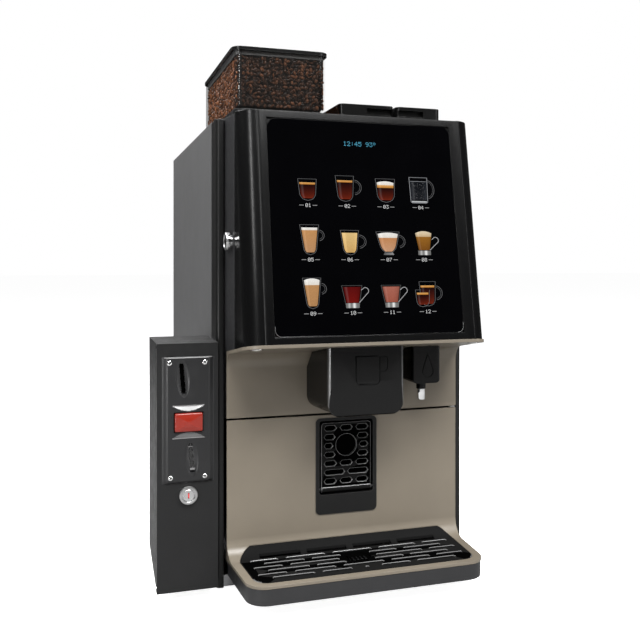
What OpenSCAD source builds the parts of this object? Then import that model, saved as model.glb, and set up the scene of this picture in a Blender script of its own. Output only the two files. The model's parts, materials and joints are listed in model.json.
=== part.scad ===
// Table-top bean-to-cup coffee vending machine with a coin unit on its left side.
// Lengths are in millimetres. Parts are drawn in the cabinet's own frame: X = 0 is the middle of the
// cabinet, Y = 0 the front of the columns, with the front facing -Y, and Z = 0 the floor.

/* [Cabinet] */
// Overall width of the cabinet
cabinet_w = 385; // [375:1:395]
// Depth of the cabinet behind the column fronts
cabinet_d = 500; // [480:1:520]
// Height of the cabinet's top cover
cabinet_h = 672; // [668:1:680]
// Sheet metal thickness
sheet_t = 1.5; // [1.2:0.1:2]
// Depth of the front columns
column_d = 41; // [30:1:50]

/* [Front] */
// Half width of the door
door_half_w = 180; // [178:0.5:180]
// Height at which the upper and lower mouldings meet
split_z = 243.5; // [240:0.5:246]
// Backward lean of the fascia and glass
fascia_tilt = 9.4; // [8:0.1:10]
// Half width of the fascia
fascia_half_w = 174; // [172:0.5:175]
// Half width of the touch glass
glass_half_w = 136; // [130:1:140]
// Front wall face of the taupe mouldings, ahead of the columns
wall_y = 8; // [7:0.5:10]

/* [Tray] */
// Height of the cup surface of the tray
tray_z = 48; // [46:1:50]
// How far the tray reaches ahead of the columns
tray_front = 123; // [118:1:126]
// Half width of the tray at its front
tray_half_w = 170; // [165:1:173]

/* [Hopper] */
// Width of the bean hopper
hopper_w = 142; // [136:1:146]
// Depth of the bean hopper
hopper_d = 264; // [240:1:270]
// Height of the top of the hopper's lid above the floor
hopper_top = 781; // [770:1:790]

/* [Coin unit] */
// Width of the coin unit
coin_w = 85; // [80:1:90]
// Depth of the coin unit
coin_d = 110; // [104:1:114]
// Height of the coin unit's top above the floor
coin_top = 355; // [350:1:360]

/* [Hidden] */
$fn = 48;
eps = 0.1;
half_w = cabinet_w / 2;
column_in = half_w - 11;
interior = half_w - sheet_t;
back_y = cabinet_d;
rear_y = back_y - sheet_t;
inlet_reach = 14;
front_most = 123.5;
// Middle of the whole bounding box, which is the model's origin
origin_x = -coin_w / 2;
origin_y = (back_y + inlet_reach - front_most) / 2;

// ---------------------------------------------------------------- helpers

function unit(v) = v / norm(v);
function turn(a) = a > 180 ? a - 360 : a < -180 ? a + 360 : a;
function corner_arc(p0, p1, p2, r, n) =
    let (
        a = unit(p0 - p1),
        b = unit(p2 - p1),
        half = acos(a * b) / 2,
        c = p1 + unit(a + b) * r / sin(half),
        s = p1 + a * r / tan(half),
        e = p1 + b * r / tan(half),
        a0 = atan2(s.y - c.y, s.x - c.x),
        sweep = turn(atan2(e.y - c.y, e.x - c.x) - a0)
    )
    [for (i = [0:n]) c + r * [cos(a0 + sweep * i / n), sin(a0 + sweep * i / n)]];
// Outline with its corners rounded to the given radii
function rounded(pts, radii, n = 8) =
    let (m = len(pts))
    [for (i = [0:m - 1])
        for (p = radii[i] > 0
            ? corner_arc(pts[(i + m - 1) % m], pts[i], pts[(i + 1) % m], radii[i], n)
            : [pts[i]]) p];
function reverse(list) = [for (i = [len(list) - 1:-1:0]) list[i]];
function box_outline(x0, y0, x1, y1) = [[x0, y0], [x1, y0], [x1, y1], [x0, y1]];

// Cabinet frame to model frame
module place() {
    translate([-origin_x, -origin_y, 0]) children();
}
// Box from one corner to the other
module block(from, to) {
    translate(from) cube(to - from);
}
// Upright prism of a plan outline
module prism(pts, z0, z1) {
    translate([0, 0, z0]) linear_extrude(z1 - z0) polygon(pts);
}
// Prism of an outline drawn in the Y-Z plane, from x0 to x1
module side_prism(x0, x1) {
    translate([x0, 0, 0]) rotate([90, 0, 90]) linear_extrude(x1 - x0) children();
}
// Prism of an outline drawn in the X-Z plane, reaching from y0 back to y1
module front_prism(y0, y1) {
    translate([0, y1, 0]) rotate([90, 0, 0]) linear_extrude(y1 - y0) children();
}
module rounded_box(x0, y0, x1, y1, r, z0, z1) {
    prism(rounded(box_outline(x0, y0, x1, y1), [r, r, r, r]), z0, z1);
}
module upright(x, y, z0, z1, r) {
    translate([x, y, z0]) cylinder(r = r, h = z1 - z0);
}
// Cylinder along Y
module along_y(x, z, y0, y1, r) {
    translate([x, y0, z]) rotate([-90, 0, 0]) cylinder(r = r, h = y1 - y0);
}
// Cylinder along X
module along_x(y, z, x0, x1, r) {
    translate([x0, y, z]) rotate([0, 90, 0]) cylinder(r = r, h = x1 - x0);
}

// ---------------------------------------------------------------- cabinet

foot_h = 4;
module feet() {
    color("black") place()
        for (x = [-160, 160], y = [45, 460]) upright(x, y, 0, foot_h, 16);
}

// Space of the two front columns, which sheet parts behind them are cut away from
module column_space() {
    for (s = [-1, 1])
        block([s > 0 ? column_in : -half_w - 1, -1, 0], [s > 0 ? half_w + 1 : -column_in, column_d, cabinet_h]);
}

pan_h = 16;
runner_x = 176;
module base_pan() {
    color("gray") place() {
        difference() {
            block([-interior, 3, foot_h], [interior, rear_y, foot_h + pan_h]);
            column_space();
            block([-interior + sheet_t, 3 + sheet_t, foot_h + sheet_t],
                [interior - sheet_t, rear_y - sheet_t, foot_h + pan_h + eps]);
        }
        // Rails that carry the front drawer
        for (s = [-1, 1]) {
            x0 = s > 0 ? runner_x : -runner_x - 3;
            block([x0, 45, foot_h + sheet_t], [x0 + 3, 275, 60]);
        }
    }
}

module side_panel(s) {
    x0 = s > 0 ? half_w - sheet_t : -half_w;
    block([x0, column_d, foot_h], [x0 + sheet_t, back_y, cabinet_h]);
}
module left_side_panel() {
    color("dimgray") place() side_panel(-1);
}
module right_side_panel() {
    color("dimgray") place() side_panel(1);
}

fan_z = 600;
fan_shaft_r = 3;
running_clear = 0.05;
inlet_x = -150;
inlet_z = 110;
socket_x = 150;
socket_z = 64;
switch_z = 110;
module rear_panel() {
    color("dimgray") place() difference() {
        union() {
            block([-interior, rear_y, foot_h], [interior, back_y, cabinet_h - sheet_t]);
            // Bridge that carries the fan's motor
            for (s = [-1, 1]) block([s * 43 - 3, rear_y - 42, fan_z - 6], [s * 43 + 3, rear_y, fan_z + 6]);
            block([-46, rear_y - 42, fan_z - 6], [46, rear_y - 36, fan_z + 6]);
            along_y(0, fan_z, rear_y - 42, rear_y - 26, 13);
        }
        along_y(0, fan_z, rear_y - 41, rear_y - 25, fan_shaft_r + running_clear);
        // Fan grille: rings of slots around a hub
        for (k = [0:3]) front_prism(rear_y - eps, back_y + eps) translate([0, fan_z])
            intersection() {
                difference() {
                    circle(r = 36 - 8 * k);
                    circle(r = 32 - 8 * k);
                }
                for (a = [0:90:270]) rotate(a + 6) square([40, 40]);
            }
        // Louvres
        for (i = [0:9], s = [-1, 1])
            block([s * 110 - 45, rear_y - eps, 380 + i * 14], [s * 110 + 45, back_y + eps, 385 + i * 14]);
        along_y(inlet_x, inlet_z, rear_y - eps, back_y + eps, 14);
        block([socket_x - 14, rear_y - eps, socket_z - 12], [socket_x + 14, back_y + eps, socket_z + 12]);
        block([socket_x - 11, rear_y - eps, switch_z - 15], [socket_x + 11, back_y + eps, switch_z + 15]);
    }
}

throat_x = -94;
throat_y = 125;
canister_y0 = 24;
canister_y1 = 214;
canister_x = [[3, 82], [95, 161]];
lid_edge = [[-3, 88], [90, 166]];
lid_pin = [227, 678];
lid_pin_r = 1.5;
module top_cover() {
    color("dimgray") place() {
        difference() {
            block([-interior, 12, cabinet_h - sheet_t], [interior, rear_y, cabinet_h]);
            upright(throat_x, throat_y, cabinet_h - 3, cabinet_h + 1, 26);
            for (c = canister_x)
                block([c[0] - 1, canister_y0 - 1, cabinet_h - 3], [c[1] + 1, canister_y1 + 1, cabinet_h + 1]);
        }
        // Hinge ears and pins of the canister lids
        for (e = lid_edge) {
            mid = (e[0] + e[1]) / 2;
            for (s = [-1, 1]) block([mid + s * 25 - 3, lid_pin.x - 3, cabinet_h - 0.5],
                [mid + s * 25 + 3, lid_pin.x + 3, lid_pin.y + 3]);
            along_x(lid_pin.x, lid_pin.y, mid - 25, mid + 25, lid_pin_r);
        }
    }
}

// Hollow front pillar, open to the rear, with its outer front corner rounded
module column(s) {
    outer = rounded([[s * column_in, 0], [s * half_w, 0], [s * half_w, column_d], [s * column_in, column_d]],
        [0, 6, 0, 0]);
    inner = [[s * (column_in + 2), 2], [s * (half_w - 2), 7], [s * (half_w - 2), column_d + eps],
        [s * (column_in + 2), column_d + eps]];
    difference() {
        prism(outer, foot_h - 1, cabinet_h - sheet_t);
        prism(inner, foot_h - 2, cabinet_h - 4);
    }
}
module left_column() {
    color("black") place() column(-1);
}
module right_column() {
    color("black") place() column(1);
}

plate_y = 232;
plate_t = 2;
shelf_z = 247;
canister_z = 497;
module inner_chassis() {
    color("silver") place() difference() {
        union() {
            block([-interior, plate_y, shelf_z], [interior, plate_y + plate_t, cabinet_h - sheet_t]);
            block([-interior, 60, shelf_z], [interior, rear_y, shelf_z + plate_t]);
            block([-4, 26, canister_z - plate_t], [interior, plate_y, canister_z]);
            // Folded lip under the front of the canister shelf
            block([-4, 26, canister_z - 14], [interior, 26 + plate_t, canister_z - plate_t]);
        }
        column_space();
        // Grounds chute from the brewer to the bin
        block([-130, 80, shelf_z - 1], [-60, 160, shelf_z + 3]);
        // Motor shafts through the plate
        for (x = drive_x) {
            along_y(x, auger_z, plate_y - 1, plate_y + 3, 6);
            along_y(x, whipper_z, plate_y - 1, plate_y + 3, 6);
        }
        // Outlets from the canisters down to the bowls
        for (x = drive_x) upright(x, spout_y, canister_z - 3, canister_z + 1, 13);
        // Pipes
        upright(80, 330, shelf_z - 1, shelf_z + 3, 12);
        along_y(-95, 440, plate_y - 1, plate_y + 3, 6);
    }
}

hinge_x = 176;
hinge_y = -4.5;
pin_r = 2;
pin_clear = 0.06;
hinge_z0 = split_z - 0.6;
hinge_z1 = cabinet_h + 0.6;
module hinge_pins() {
    color("silver") place() {
        // Lower leaf lies in the split line and turns up inside the right column
        prism([[hinge_x - 6, -7.2], [hinge_x + 2, -7.2], [column_in, 6], [column_in, 56], [hinge_x - 6, 56]],
            hinge_z0, hinge_z0 + 1.2);
        block([column_in - 1.5, 14, hinge_z0 + 1.2], [column_in, 40, hinge_z0 + 46]);
        upright(hinge_x, hinge_y, hinge_z0 + 1.2, hinge_z0 + 14, pin_r);
        // Upper leaf lies on the top cover
        block([hinge_x - 7, -11, hinge_z1 - 0.6], [hinge_x + 7, 44, hinge_z1 + 0.8]);
        upright(hinge_x, hinge_y, hinge_z1 - 14, hinge_z1 - 0.6, pin_r);
    }
}

// ---------------------------------------------------------------- hopper and lids

hopper_x0 = -165;
hopper_x1 = hopper_x0 + hopper_w;
hopper_y0 = 10;
hopper_y1 = hopper_y0 + hopper_d;
collar_h = 18;
hopper_z0 = cabinet_h + collar_h;
lid_t = 4.5;
hopper_rim = hopper_top - lid_t;
hopper_wall = 3;
hopper_r = 14;
module hopper_base() {
    color("black") place() difference() {
        rounded_box(hopper_x0 + 1, hopper_y0 + 1, hopper_x1 - 1, hopper_y1 - 1, hopper_r - 1, cabinet_h, hopper_z0);
        upright(throat_x, throat_y, cabinet_h - 1, hopper_z0 + 1, 26);
        // Coring under the collar, so that it is a moulding with even walls
        difference() {
            rounded_box(hopper_x0 + 5, hopper_y0 + 5, hopper_x1 - 5, hopper_y1 - 5, hopper_r - 5,
                cabinet_h - 1, hopper_z0 - 4);
            upright(throat_x, throat_y, cabinet_h - 2, hopper_z0, 30);
        }
    }
}
lid_skirt = 1.8;
hopper_pin = [hopper_y1 + 6.5, hopper_rim - 6];
module bean_hopper() {
    color([0.6, 0.6, 0.6, 0.35]) place() {
        difference() {
            rounded_box(hopper_x0, hopper_y0, hopper_x1, hopper_y1, hopper_r, hopper_z0, hopper_rim);
            rounded_box(hopper_x0 + hopper_wall, hopper_y0 + hopper_wall, hopper_x1 - hopper_wall,
                hopper_y1 - hopper_wall, hopper_r - hopper_wall, hopper_z0 + 4, hopper_rim + eps);
            upright(throat_x, throat_y, hopper_z0 - 1, hopper_z0 + 5, 21);
        }
        // Hinge ears and pin of the lid
        for (s = [-1, 1]) {
            x0 = throat_x + s * 44 - 4;
            block([x0, hopper_y1 - 0.5, hopper_rim - 24], [x0 + 8, hopper_pin.x + 3, hopper_rim - 10]);
            block([x0, hopper_pin.x - 3, hopper_rim - 10], [x0 + 8, hopper_pin.x + 3, hopper_pin.y + 2.5]);
        }
        along_x(hopper_pin.x, hopper_pin.y, throat_x - 44, throat_x + 44, lid_pin_r);
    }
}
module hopper_lid() {
    color("black") place() difference() {
        union() {
            rounded_box(hopper_x0 - 2, hopper_y0 - 2, hopper_x1 + 2, hopper_y1 + 2, hopper_r + 2,
                hopper_rim - lid_skirt, hopper_top - 1.5);
            along_x(hopper_pin.x, hopper_pin.y, throat_x - 38, throat_x + 38, 3);
            block([throat_x - 38, hopper_y1 + 1, hopper_pin.y + 0.5],
                [throat_x + 38, hopper_pin.x, hopper_rim]);
            rounded_box(hopper_x0 + 4, hopper_y0 + 4, hopper_x1 - 4, hopper_y1 - 4, hopper_r - 3,
                hopper_top - 1.5, hopper_top);
        }
        rounded_box(hopper_x0 - 0.5, hopper_y0 - 0.5, hopper_x1 + 0.5, hopper_y1 + 0.5, hopper_r + 0.5,
            hopper_rim - lid_skirt - eps, hopper_rim + 0.5);
        rounded_box(hopper_x0 + 12, hopper_y0 + 12, hopper_x1 - 12, hopper_y1 - 12, hopper_r - 8,
            hopper_rim, hopper_top - 2);
        along_x(hopper_pin.x, hopper_pin.y, throat_x - 39, throat_x + 39, lid_pin_r + running_clear);
    }
}

canister_top = 688;
canister_lid_top = 707;
lid_y0 = 15;
lid_y1 = 222;
module canister_lid(k) {
    x0 = lid_edge[k][0];
    x1 = lid_edge[k][1];
    mid = (x0 + x1) / 2;
    difference() {
        union() {
            rounded_box(x0, lid_y0, x1, lid_y1, 9, cabinet_h + 1.5, cabinet_h + 8);
            rounded_box(x0 + 1.2, lid_y0 + 1.2, x1 - 1.2, lid_y1 - 1.2, 8, cabinet_h + 8, canister_lid_top);
            along_x(lid_pin.x, lid_pin.y, mid - 21, mid + 21, 3);
            block([mid - 21, lid_y1 - 1, lid_pin.y - 1], [mid + 21, lid_pin.x, lid_pin.y + 3]);
        }
        along_x(lid_pin.x, lid_pin.y, mid - 22, mid + 22, lid_pin_r + running_clear);
        rounded_box(x0 + 3, lid_y0 + 3, x1 - 3, lid_y1 - 3, 6, cabinet_h + 1, canister_top + 1);
        // Finger recess across the front of the lid
        block([mid - 24, lid_y0 + 12, canister_lid_top - 8],
            [mid + 24, lid_y0 + 40, canister_lid_top + eps]);
        rounded_box(x0 + 8, lid_y0 + 46, x1 - 8, lid_y1 - 8, 5, canister_lid_top - 3, canister_lid_top + eps);
        // Grip pocket in the front edge, on the side where the two lids meet
        block([k == 0 ? x1 - 46 : x0 + 4, lid_y0 - 1, 692], [k == 0 ? x1 - 4 : x0 + 46, lid_y0 + 8, 702]);
    }
}
module canister_lid_left() {
    color("black") place() canister_lid(0);
}
module canister_lid_right() {
    color("black") place() canister_lid(1);
}

// ---------------------------------------------------------------- coffee works

burr_z0 = 604;
burr_z1 = 640;
shaft_r = 5;
module grinder() {
    color("dimgray") place() difference() {
        union() {
            upright(throat_x, throat_y, 572, 668, 44);
            upright(throat_x, throat_y, 668, hopper_z0, 25);
            upright(throat_x, throat_y, 488, 572, 37);
            // Bracket to the chassis plate and the ground-coffee chute
            block([throat_x - 26, throat_y + 30, 560], [throat_x + 26, plate_y, 610]);
            block([throat_x - 14, throat_y - 66, 566], [throat_x + 14, throat_y - 30, 596]);
        }
        upright(throat_x, throat_y, 650, hopper_z0 + 1, 20.5);
        upright(throat_x, throat_y, 600, 651, 34);
        upright(throat_x, throat_y, 540, 601, shaft_r + running_clear);
        block([throat_x - 10, throat_y - 61, 560], [throat_x + 10, throat_y - 28, 592]);
    }
}
module grinder_burr() {
    color("silver") place() {
        difference() {
            union() {
                upright(throat_x, throat_y, burr_z0, burr_z0 + 14, 30);
                translate([throat_x, throat_y, burr_z0 + 14]) cylinder(r1 = 26, r2 = 12, h = burr_z1 - burr_z0 - 14);
            }
            for (a = [0:30:330]) translate([throat_x, throat_y, 0]) rotate(a)
                block([25, -2, burr_z0 - 1], [31, 2, burr_z0 + 15]);
        }
        upright(throat_x, throat_y, 545, burr_z0, shaft_r);
    }
}

brewer_x = -95;
brewer_y = 120;
bore_r = 22;
module brewer() {
    color("dimgray") place() difference() {
        union() {
            block([brewer_x - 45, 70, 300], [brewer_x + 45, 170, 420]);
            block([brewer_x - 45, 170, 300], [brewer_x + 45, plate_y, 312]);
            block([brewer_x - 45, 170, 408], [brewer_x + 45, plate_y, 420]);
            // Head with the drive above the piston
            block([brewer_x - 30, 170, 420], [brewer_x + 30, plate_y, 470]);
            // Spent puck chute, its lower end over the hole in the shelf
            block([brewer_x - 32, 84, 250], [brewer_x + 32, 156, 300]);
        }
        upright(brewer_x, brewer_y, 299, 421, bore_r);
        block([brewer_x - 29, 87, 249], [brewer_x + 29, 153, 300 + eps]);
    }
}
module brew_piston() {
    color("silver") place() {
        upright(brewer_x, brewer_y, 350, 372, bore_r - running_clear);
        upright(brewer_x, brewer_y, 372, 440, 9);
        upright(brewer_x, brewer_y, 440, 450, 18);
    }
}

drive_x = [42.5, 128];
auger_z = 514;
whipper_z = 400;
spout_y = 52;
auger_r = 10;
module instant_canisters() {
    color([0.8, 0.8, 0.75, 0.6]) place() for (k = [0, 1]) difference() {
        block([canister_x[k][0], canister_y0 + 14, canister_z], [canister_x[k][1], canister_y1, canister_top]);
        // Powder space with a trough round the auger
        block([canister_x[k][0] + 3, canister_y0 + 17, auger_z + 14],
            [canister_x[k][1] - 3, canister_y1 - 3, canister_top + eps]);
        along_y(drive_x[k], auger_z, canister_y0 + 17, canister_y1 - 3, 13);
        block([drive_x[k] - 13, canister_y0 + 17, auger_z], [drive_x[k] + 13, canister_y1 - 3, auger_z + 15]);
        along_y(drive_x[k], auger_z, canister_y1 - 4, canister_y1 + 1, 4 + running_clear);
        upright(drive_x[k], spout_y, canister_z - 1, auger_z, 7);
    }
}
module auger(x) {
    along_y(x, auger_z, canister_y0 + 19, plate_y + 12, 4);
    for (i = [0:9]) along_y(x, auger_z, canister_y0 + 22 + 16 * i, canister_y0 + 26 + 16 * i, auger_r);
}
module auger_left() {
    color("ivory") place() auger(drive_x[0]);
}
module auger_right() {
    color("ivory") place() auger(drive_x[1]);
}

bowl_y = 70;
module mixing_bowls() {
    color("black") place() for (x = drive_x) {
        difference() {
            union() {
                upright(x, bowl_y, 412, 470, 30);
                along_y(x, whipper_z, bowl_y - 22, bowl_y + 26, 20);
                // Socket that reaches the chassis plate
                along_y(x, whipper_z, bowl_y + 26, plate_y, 11);
                // Spout towards the outlet head
                upright(x, bowl_y - 10, 362, 390, 8);
            }
            upright(x, bowl_y, 416, 471, 27);
            along_y(x, whipper_z, bowl_y - 18, bowl_y + 22, 17);
            along_y(x, whipper_z, bowl_y + 20, plate_y + 1, 4 + running_clear);
            upright(x, bowl_y - 10, 361, 400, 5);
            upright(x, bowl_y, 400, 417, 10);
        }
    }
}
module whipper(x) {
    along_y(x, whipper_z, bowl_y - 12, plate_y + 12, 4);
    along_y(x, whipper_z, bowl_y - 12, bowl_y - 6, 13);
}
module whipper_left() {
    color("white") place() whipper(drive_x[0]);
}
module whipper_right() {
    color("white") place() whipper(drive_x[1]);
}
module drive_motors() {
    color("silver") place() for (x = drive_x, z = [auger_z, whipper_z]) difference() {
        union() {
            block([x - 20, plate_y + plate_t, z - 20], [x + 20, plate_y + 22, z + 20]);
            along_y(x, z, plate_y + 22, plate_y + 62, 17);
        }
        along_y(x, z, plate_y + plate_t - 1, plate_y + 14, 4 + running_clear);
    }
}

// ---------------------------------------------------------------- water and power

boiler_x = 80;
boiler_y = 370;
module boiler() {
    color("silver") place() {
        upright(boiler_x, boiler_y, shelf_z + plate_t + 10, 440, 55);
        for (a = [45:90:315]) translate([boiler_x, boiler_y, 0]) rotate(a)
            block([40, -6, shelf_z + plate_t], [52, 6, shelf_z + plate_t + 10]);
        upright(boiler_x, boiler_y, 440, 452, 16);
    }
}
pump_x = -60;
pump_y = 380;
module water_pump() {
    color("brown") place() {
        along_x(pump_y, 60, pump_x - 60, pump_x + 20, 26);
        along_x(pump_y, 60, pump_x + 20, pump_x + 50, 18);
        block([pump_x - 50, pump_y - 24, foot_h + sheet_t], [pump_x + 10, pump_y + 24, 40]);
    }
}
thread_r = 13;
module inlet_valve() {
    color("gold") place() {
        along_y(inlet_x, inlet_z, rear_y, back_y + inlet_reach, thread_r);
        along_y(inlet_x, inlet_z, rear_y - 4, rear_y, 18);
        block([inlet_x - 15, rear_y - 44, inlet_z - 15], [inlet_x + 15, rear_y - 4, inlet_z + 15]);
        upright(inlet_x, rear_y - 24, inlet_z + 15, inlet_z + 55, 14);
    }
}
module power_inlet() {
    color("black") place() difference() {
        union() {
            block([socket_x - 13.8, rear_y - 20, socket_z - 11.8], [socket_x + 13.8, back_y, socket_z + 11.8]);
            block([socket_x - 18, back_y, socket_z - 15], [socket_x + 18, back_y + 2, socket_z + 15]);
        }
        block([socket_x - 11, back_y - 14, socket_z - 8], [socket_x + 11, back_y + 3, socket_z + 8]);
    }
}
// Rocker on a round pivot in the rear panel
module power_switch() {
    color("red") place() {
        along_x(back_y - 2, switch_z, socket_x - 9, socket_x + 9, 8);
        block([socket_x - 9, back_y - 3, switch_z - 11], [socket_x + 9, back_y + 2, switch_z + 11]);
    }
}
module power_supply() {
    color("silver") place() difference() {
        block([96, 345, foot_h + sheet_t], [176, 470, 90]);
        for (i = [0:5]) block([104 + i * 12, 355, 88], [109 + i * 12, 460, 91]);
    }
}
module control_board() {
    color("green") place() {
        block([-160, rear_y - 12, 380], [-10, rear_y - 10, 520]);
        for (x = [-154, -16], z = [386, 514]) along_y(x, z, rear_y - 10, rear_y, 4);
        block([-140, rear_y - 22, 400], [-100, rear_y - 12, 440]);
        block([-80, rear_y - 28, 460], [-40, rear_y - 12, 500]);
        block([-60, rear_y - 20, 395], [-20, rear_y - 12, 420]);
    }
}
module fan_impeller() {
    color("black") place() {
        along_y(0, fan_z, rear_y - 24, rear_y - 5, 12);
        for (a = [0:60:300]) translate([0, rear_y - 14.5, fan_z]) rotate([0, a, 0]) rotate([35, 0, 0])
            block([8, -1, -8], [34, 1, 8]);
        along_y(0, fan_z, rear_y - 40, rear_y - 24, fan_shaft_r);
    }
}
pipe_r = 4;
elbow = 5.5;
// Push-in elbow at a bend of the pipework
module elbow_at(x, y, z) {
    block([x - elbow, y - elbow, z - elbow], [x + elbow, y + elbow, z + elbow]);
}
module water_pipes() {
    boiler_out_z = 480;
    low_z = 60;
    color("white") place() {
        // Boiler outlet to the brewer
        upright(boiler_x, boiler_y, 452, boiler_out_z, pipe_r);
        elbow_at(boiler_x, boiler_y, boiler_out_z);
        along_x(boiler_y, boiler_out_z, brewer_x, boiler_x, pipe_r);
        elbow_at(brewer_x, boiler_y, boiler_out_z);
        upright(brewer_x, boiler_y, 440, boiler_out_z, pipe_r);
        elbow_at(brewer_x, boiler_y, 440);
        along_y(brewer_x, 440, plate_y, boiler_y, pipe_r);
        // Pump to the boiler
        upright(boiler_x, 330, low_z, shelf_z + plate_t + 10, pipe_r);
        elbow_at(boiler_x, 330, low_z);
        along_x(330, low_z, -30, boiler_x, pipe_r);
        elbow_at(-30, 330, low_z);
        along_y(-30, low_z, 330, pump_y - 20, pipe_r);
        // Inlet valve to the pump
        upright(inlet_x, rear_y - 24, low_z, inlet_z - 15, pipe_r);
        elbow_at(inlet_x, rear_y - 24, low_z);
        along_y(inlet_x, low_z, pump_y, rear_y - 24, pipe_r);
        elbow_at(inlet_x, pump_y, low_z);
        along_x(pump_y, low_z, inlet_x, pump_x - 60, pipe_r);
    }
}

// ---------------------------------------------------------------- door

door_z0 = split_z + 1.5;
door_top = cabinet_h - 1;
door_step = 40;
door_taper = 5.5;
door_back = 8;
tilt_y = front_most;
tilt_z = 359.4;
fascia_len = (cabinet_h + 1.5 - tilt_z) / cos(fascia_tilt);
// Frame of the leaning front: X across, Y into the machine, Z up the front
module tilted() {
    translate([0, -tilt_y, tilt_z]) rotate([-fascia_tilt, 0, 0]) children();
}
// Plan of the front: sides taper in towards the front
function front_plan(half, front_half, front, r) =
    rounded([[half, 60], [half, 0], [front_half, -front], [-front_half, -front], [-half, 0], [-half, 60]],
        [0, 0, r, r, 0, 0], 12);

// Height of the upper face of the moulding's sloping underside at a given Y
function under(y) = tilt_z - (tilt_y + y) * tan(fascia_tilt);
module door_frame() {
    color("black") place() difference() {
        intersection() {
            side_prism(-door_half_w, door_half_w)
                polygon([[door_back, door_z0], [-wall_y + 3, door_z0], [-wall_y + 3, under(-wall_y + 3) + 0.2],
                    [-door_step, under(-door_step) + 0.2], [-door_step, door_top], [door_back, door_top]]);
            prism([[door_half_w, door_back], [door_half_w, 0], [door_half_w - door_taper, -door_step],
                [-door_half_w + door_taper, -door_step], [-door_half_w, 0], [-door_half_w, door_back]],
                door_z0, door_top);
        }
        // Hollow from the rear
        block([-door_half_w + 12, -door_step + 3, under(0)], [door_half_w - 16, door_back + eps, door_top - 5]);
        block([-door_half_w + 12, -wall_y + 5, door_z0 + 12], [door_half_w - 16, door_back + eps, under(0) + eps]);
        // Window behind the display
        block([-glass_half_w + 8, -door_step - 1, 385], [glass_half_w - 8, -door_step + 4, 650]);
        // Bores of the hinge pins and clearance round the lower leaf
        upright(hinge_x, hinge_y, door_z0 - 1, hinge_z0 + 15, pin_r + pin_clear);
        upright(hinge_x, hinge_y, hinge_z1 - 15, door_top + 1, pin_r + pin_clear);
        // Seat of the lock barrel
        along_x(lock_y, lock_z, -door_half_w - 1, -door_half_w + 13, lock_r + running_clear);
    }
}
module door_liner() {
    color("gray") place() difference() {
        block([-door_half_w + 12, door_back - 3, door_z0 + 12], [door_half_w - 16, door_back, door_top - 5]);
        // Ways through for the dispensing hoses
        for (x = [-20, 0, 20]) along_y(x, 330, door_back - 4, door_back + 1, 6);
        along_y(108, 330, door_back - 4, door_back + 1, 6);
    }
}

pillar_in = 144;
pillar_out = 153;
pillar_proud = 3;
fascia_r = 30;
module fascia_shell() {
    color("black") place() difference() {
        intersection() {
            tilted() difference() {
                prism(rounded([[-fascia_half_w, 0], [fascia_half_w, 0], [fascia_half_w, 95], [-fascia_half_w, 95]],
                    [fascia_r, fascia_r, 0, 0], 12), 0, fascia_len + 20);
                // Shallow channel down the middle that the glass lies in
                prism([[-pillar_out, -eps], [-pillar_in, pillar_proud], [pillar_in, pillar_proud], [pillar_out, -eps]],
                    -1, fascia_len + 21);
                prism([[-fascia_half_w + 3, 34], [-fascia_half_w + 26, 8], [fascia_half_w - 26, 8],
                    [fascia_half_w - 3, 34], [fascia_half_w - 3, 96], [-fascia_half_w + 3, 96]], 4, fascia_len - 4);
                // Pocket and window of the glass
                prism(box_outline(-glass_half_w, 0, glass_half_w, pillar_proud + 3), glass_s0, glass_s0 + glass_len);
                prism(box_outline(-glass_half_w + 6, 0, glass_half_w - 6, 20), glass_s0 + 6, glass_s0 + glass_len - 6);
            }
            block([-200, -tray_front - 20, 300], [200, -door_step, cabinet_h + 1.5]);
        }
    }
}
glass_s0 = 9.8;
glass_len = 299;
glass_r = 12.5;
module touch_glass() {
    color([0.03, 0.03, 0.04]) place() tilted() translate([0, pillar_proud + 3, 0])
        rotate([90, 0, 0]) linear_extrude(3)
            polygon(rounded(box_outline(-glass_half_w + 0.2, glass_s0 + 0.2, glass_half_w - 0.2,
                glass_s0 + glass_len - 0.2), [glass_r, glass_r, glass_r, glass_r]));
}
module display_module() {
    color("silver") place() tilted() {
        block([-glass_half_w + 10, pillar_proud + 3, glass_s0 + 10],
            [glass_half_w - 10, pillar_proud + 15, glass_s0 + glass_len - 30]);
        block([-60, pillar_proud + 15, 60], [60, pillar_proud + 20, 180]);
    }
}

fillet_r = 24;
lip = 4.5;
// Side outline of the taupe upper moulding: wall, fillet and sloping underside
module upper_profile() {
    wall = -wall_y;
    front = -tilt_y;
    inside = rounded([[front + 0.8, tilt_z - lip], [wall, under(wall) - lip], [wall, door_z0]],
        [0, fillet_r, 0], 16);
    outside = [[wall + 3, door_z0], [wall + 3, under(wall + 3)], [front, tilt_z]];
    polygon(concat(inside, outside));
}
module upper_moulding() {
    color([0.55, 0.5, 0.44]) place() difference() {
        intersection() {
            side_prism(-door_half_w, door_half_w) upper_profile();
            prism(front_plan(door_half_w - 0.5, fascia_half_w, tilt_y, 26), door_z0, tilt_z + 1);
        }
        // Ways through for the hoses
        for (x = [-20, 0, 20]) along_y(x, 330, -40, 0, 6);
        // Clearance round the lower hinge pin
        upright(hinge_x, hinge_y, door_z0 - 1, hinge_z0 + 15, pin_r + 0.6);
    }
}

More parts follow.
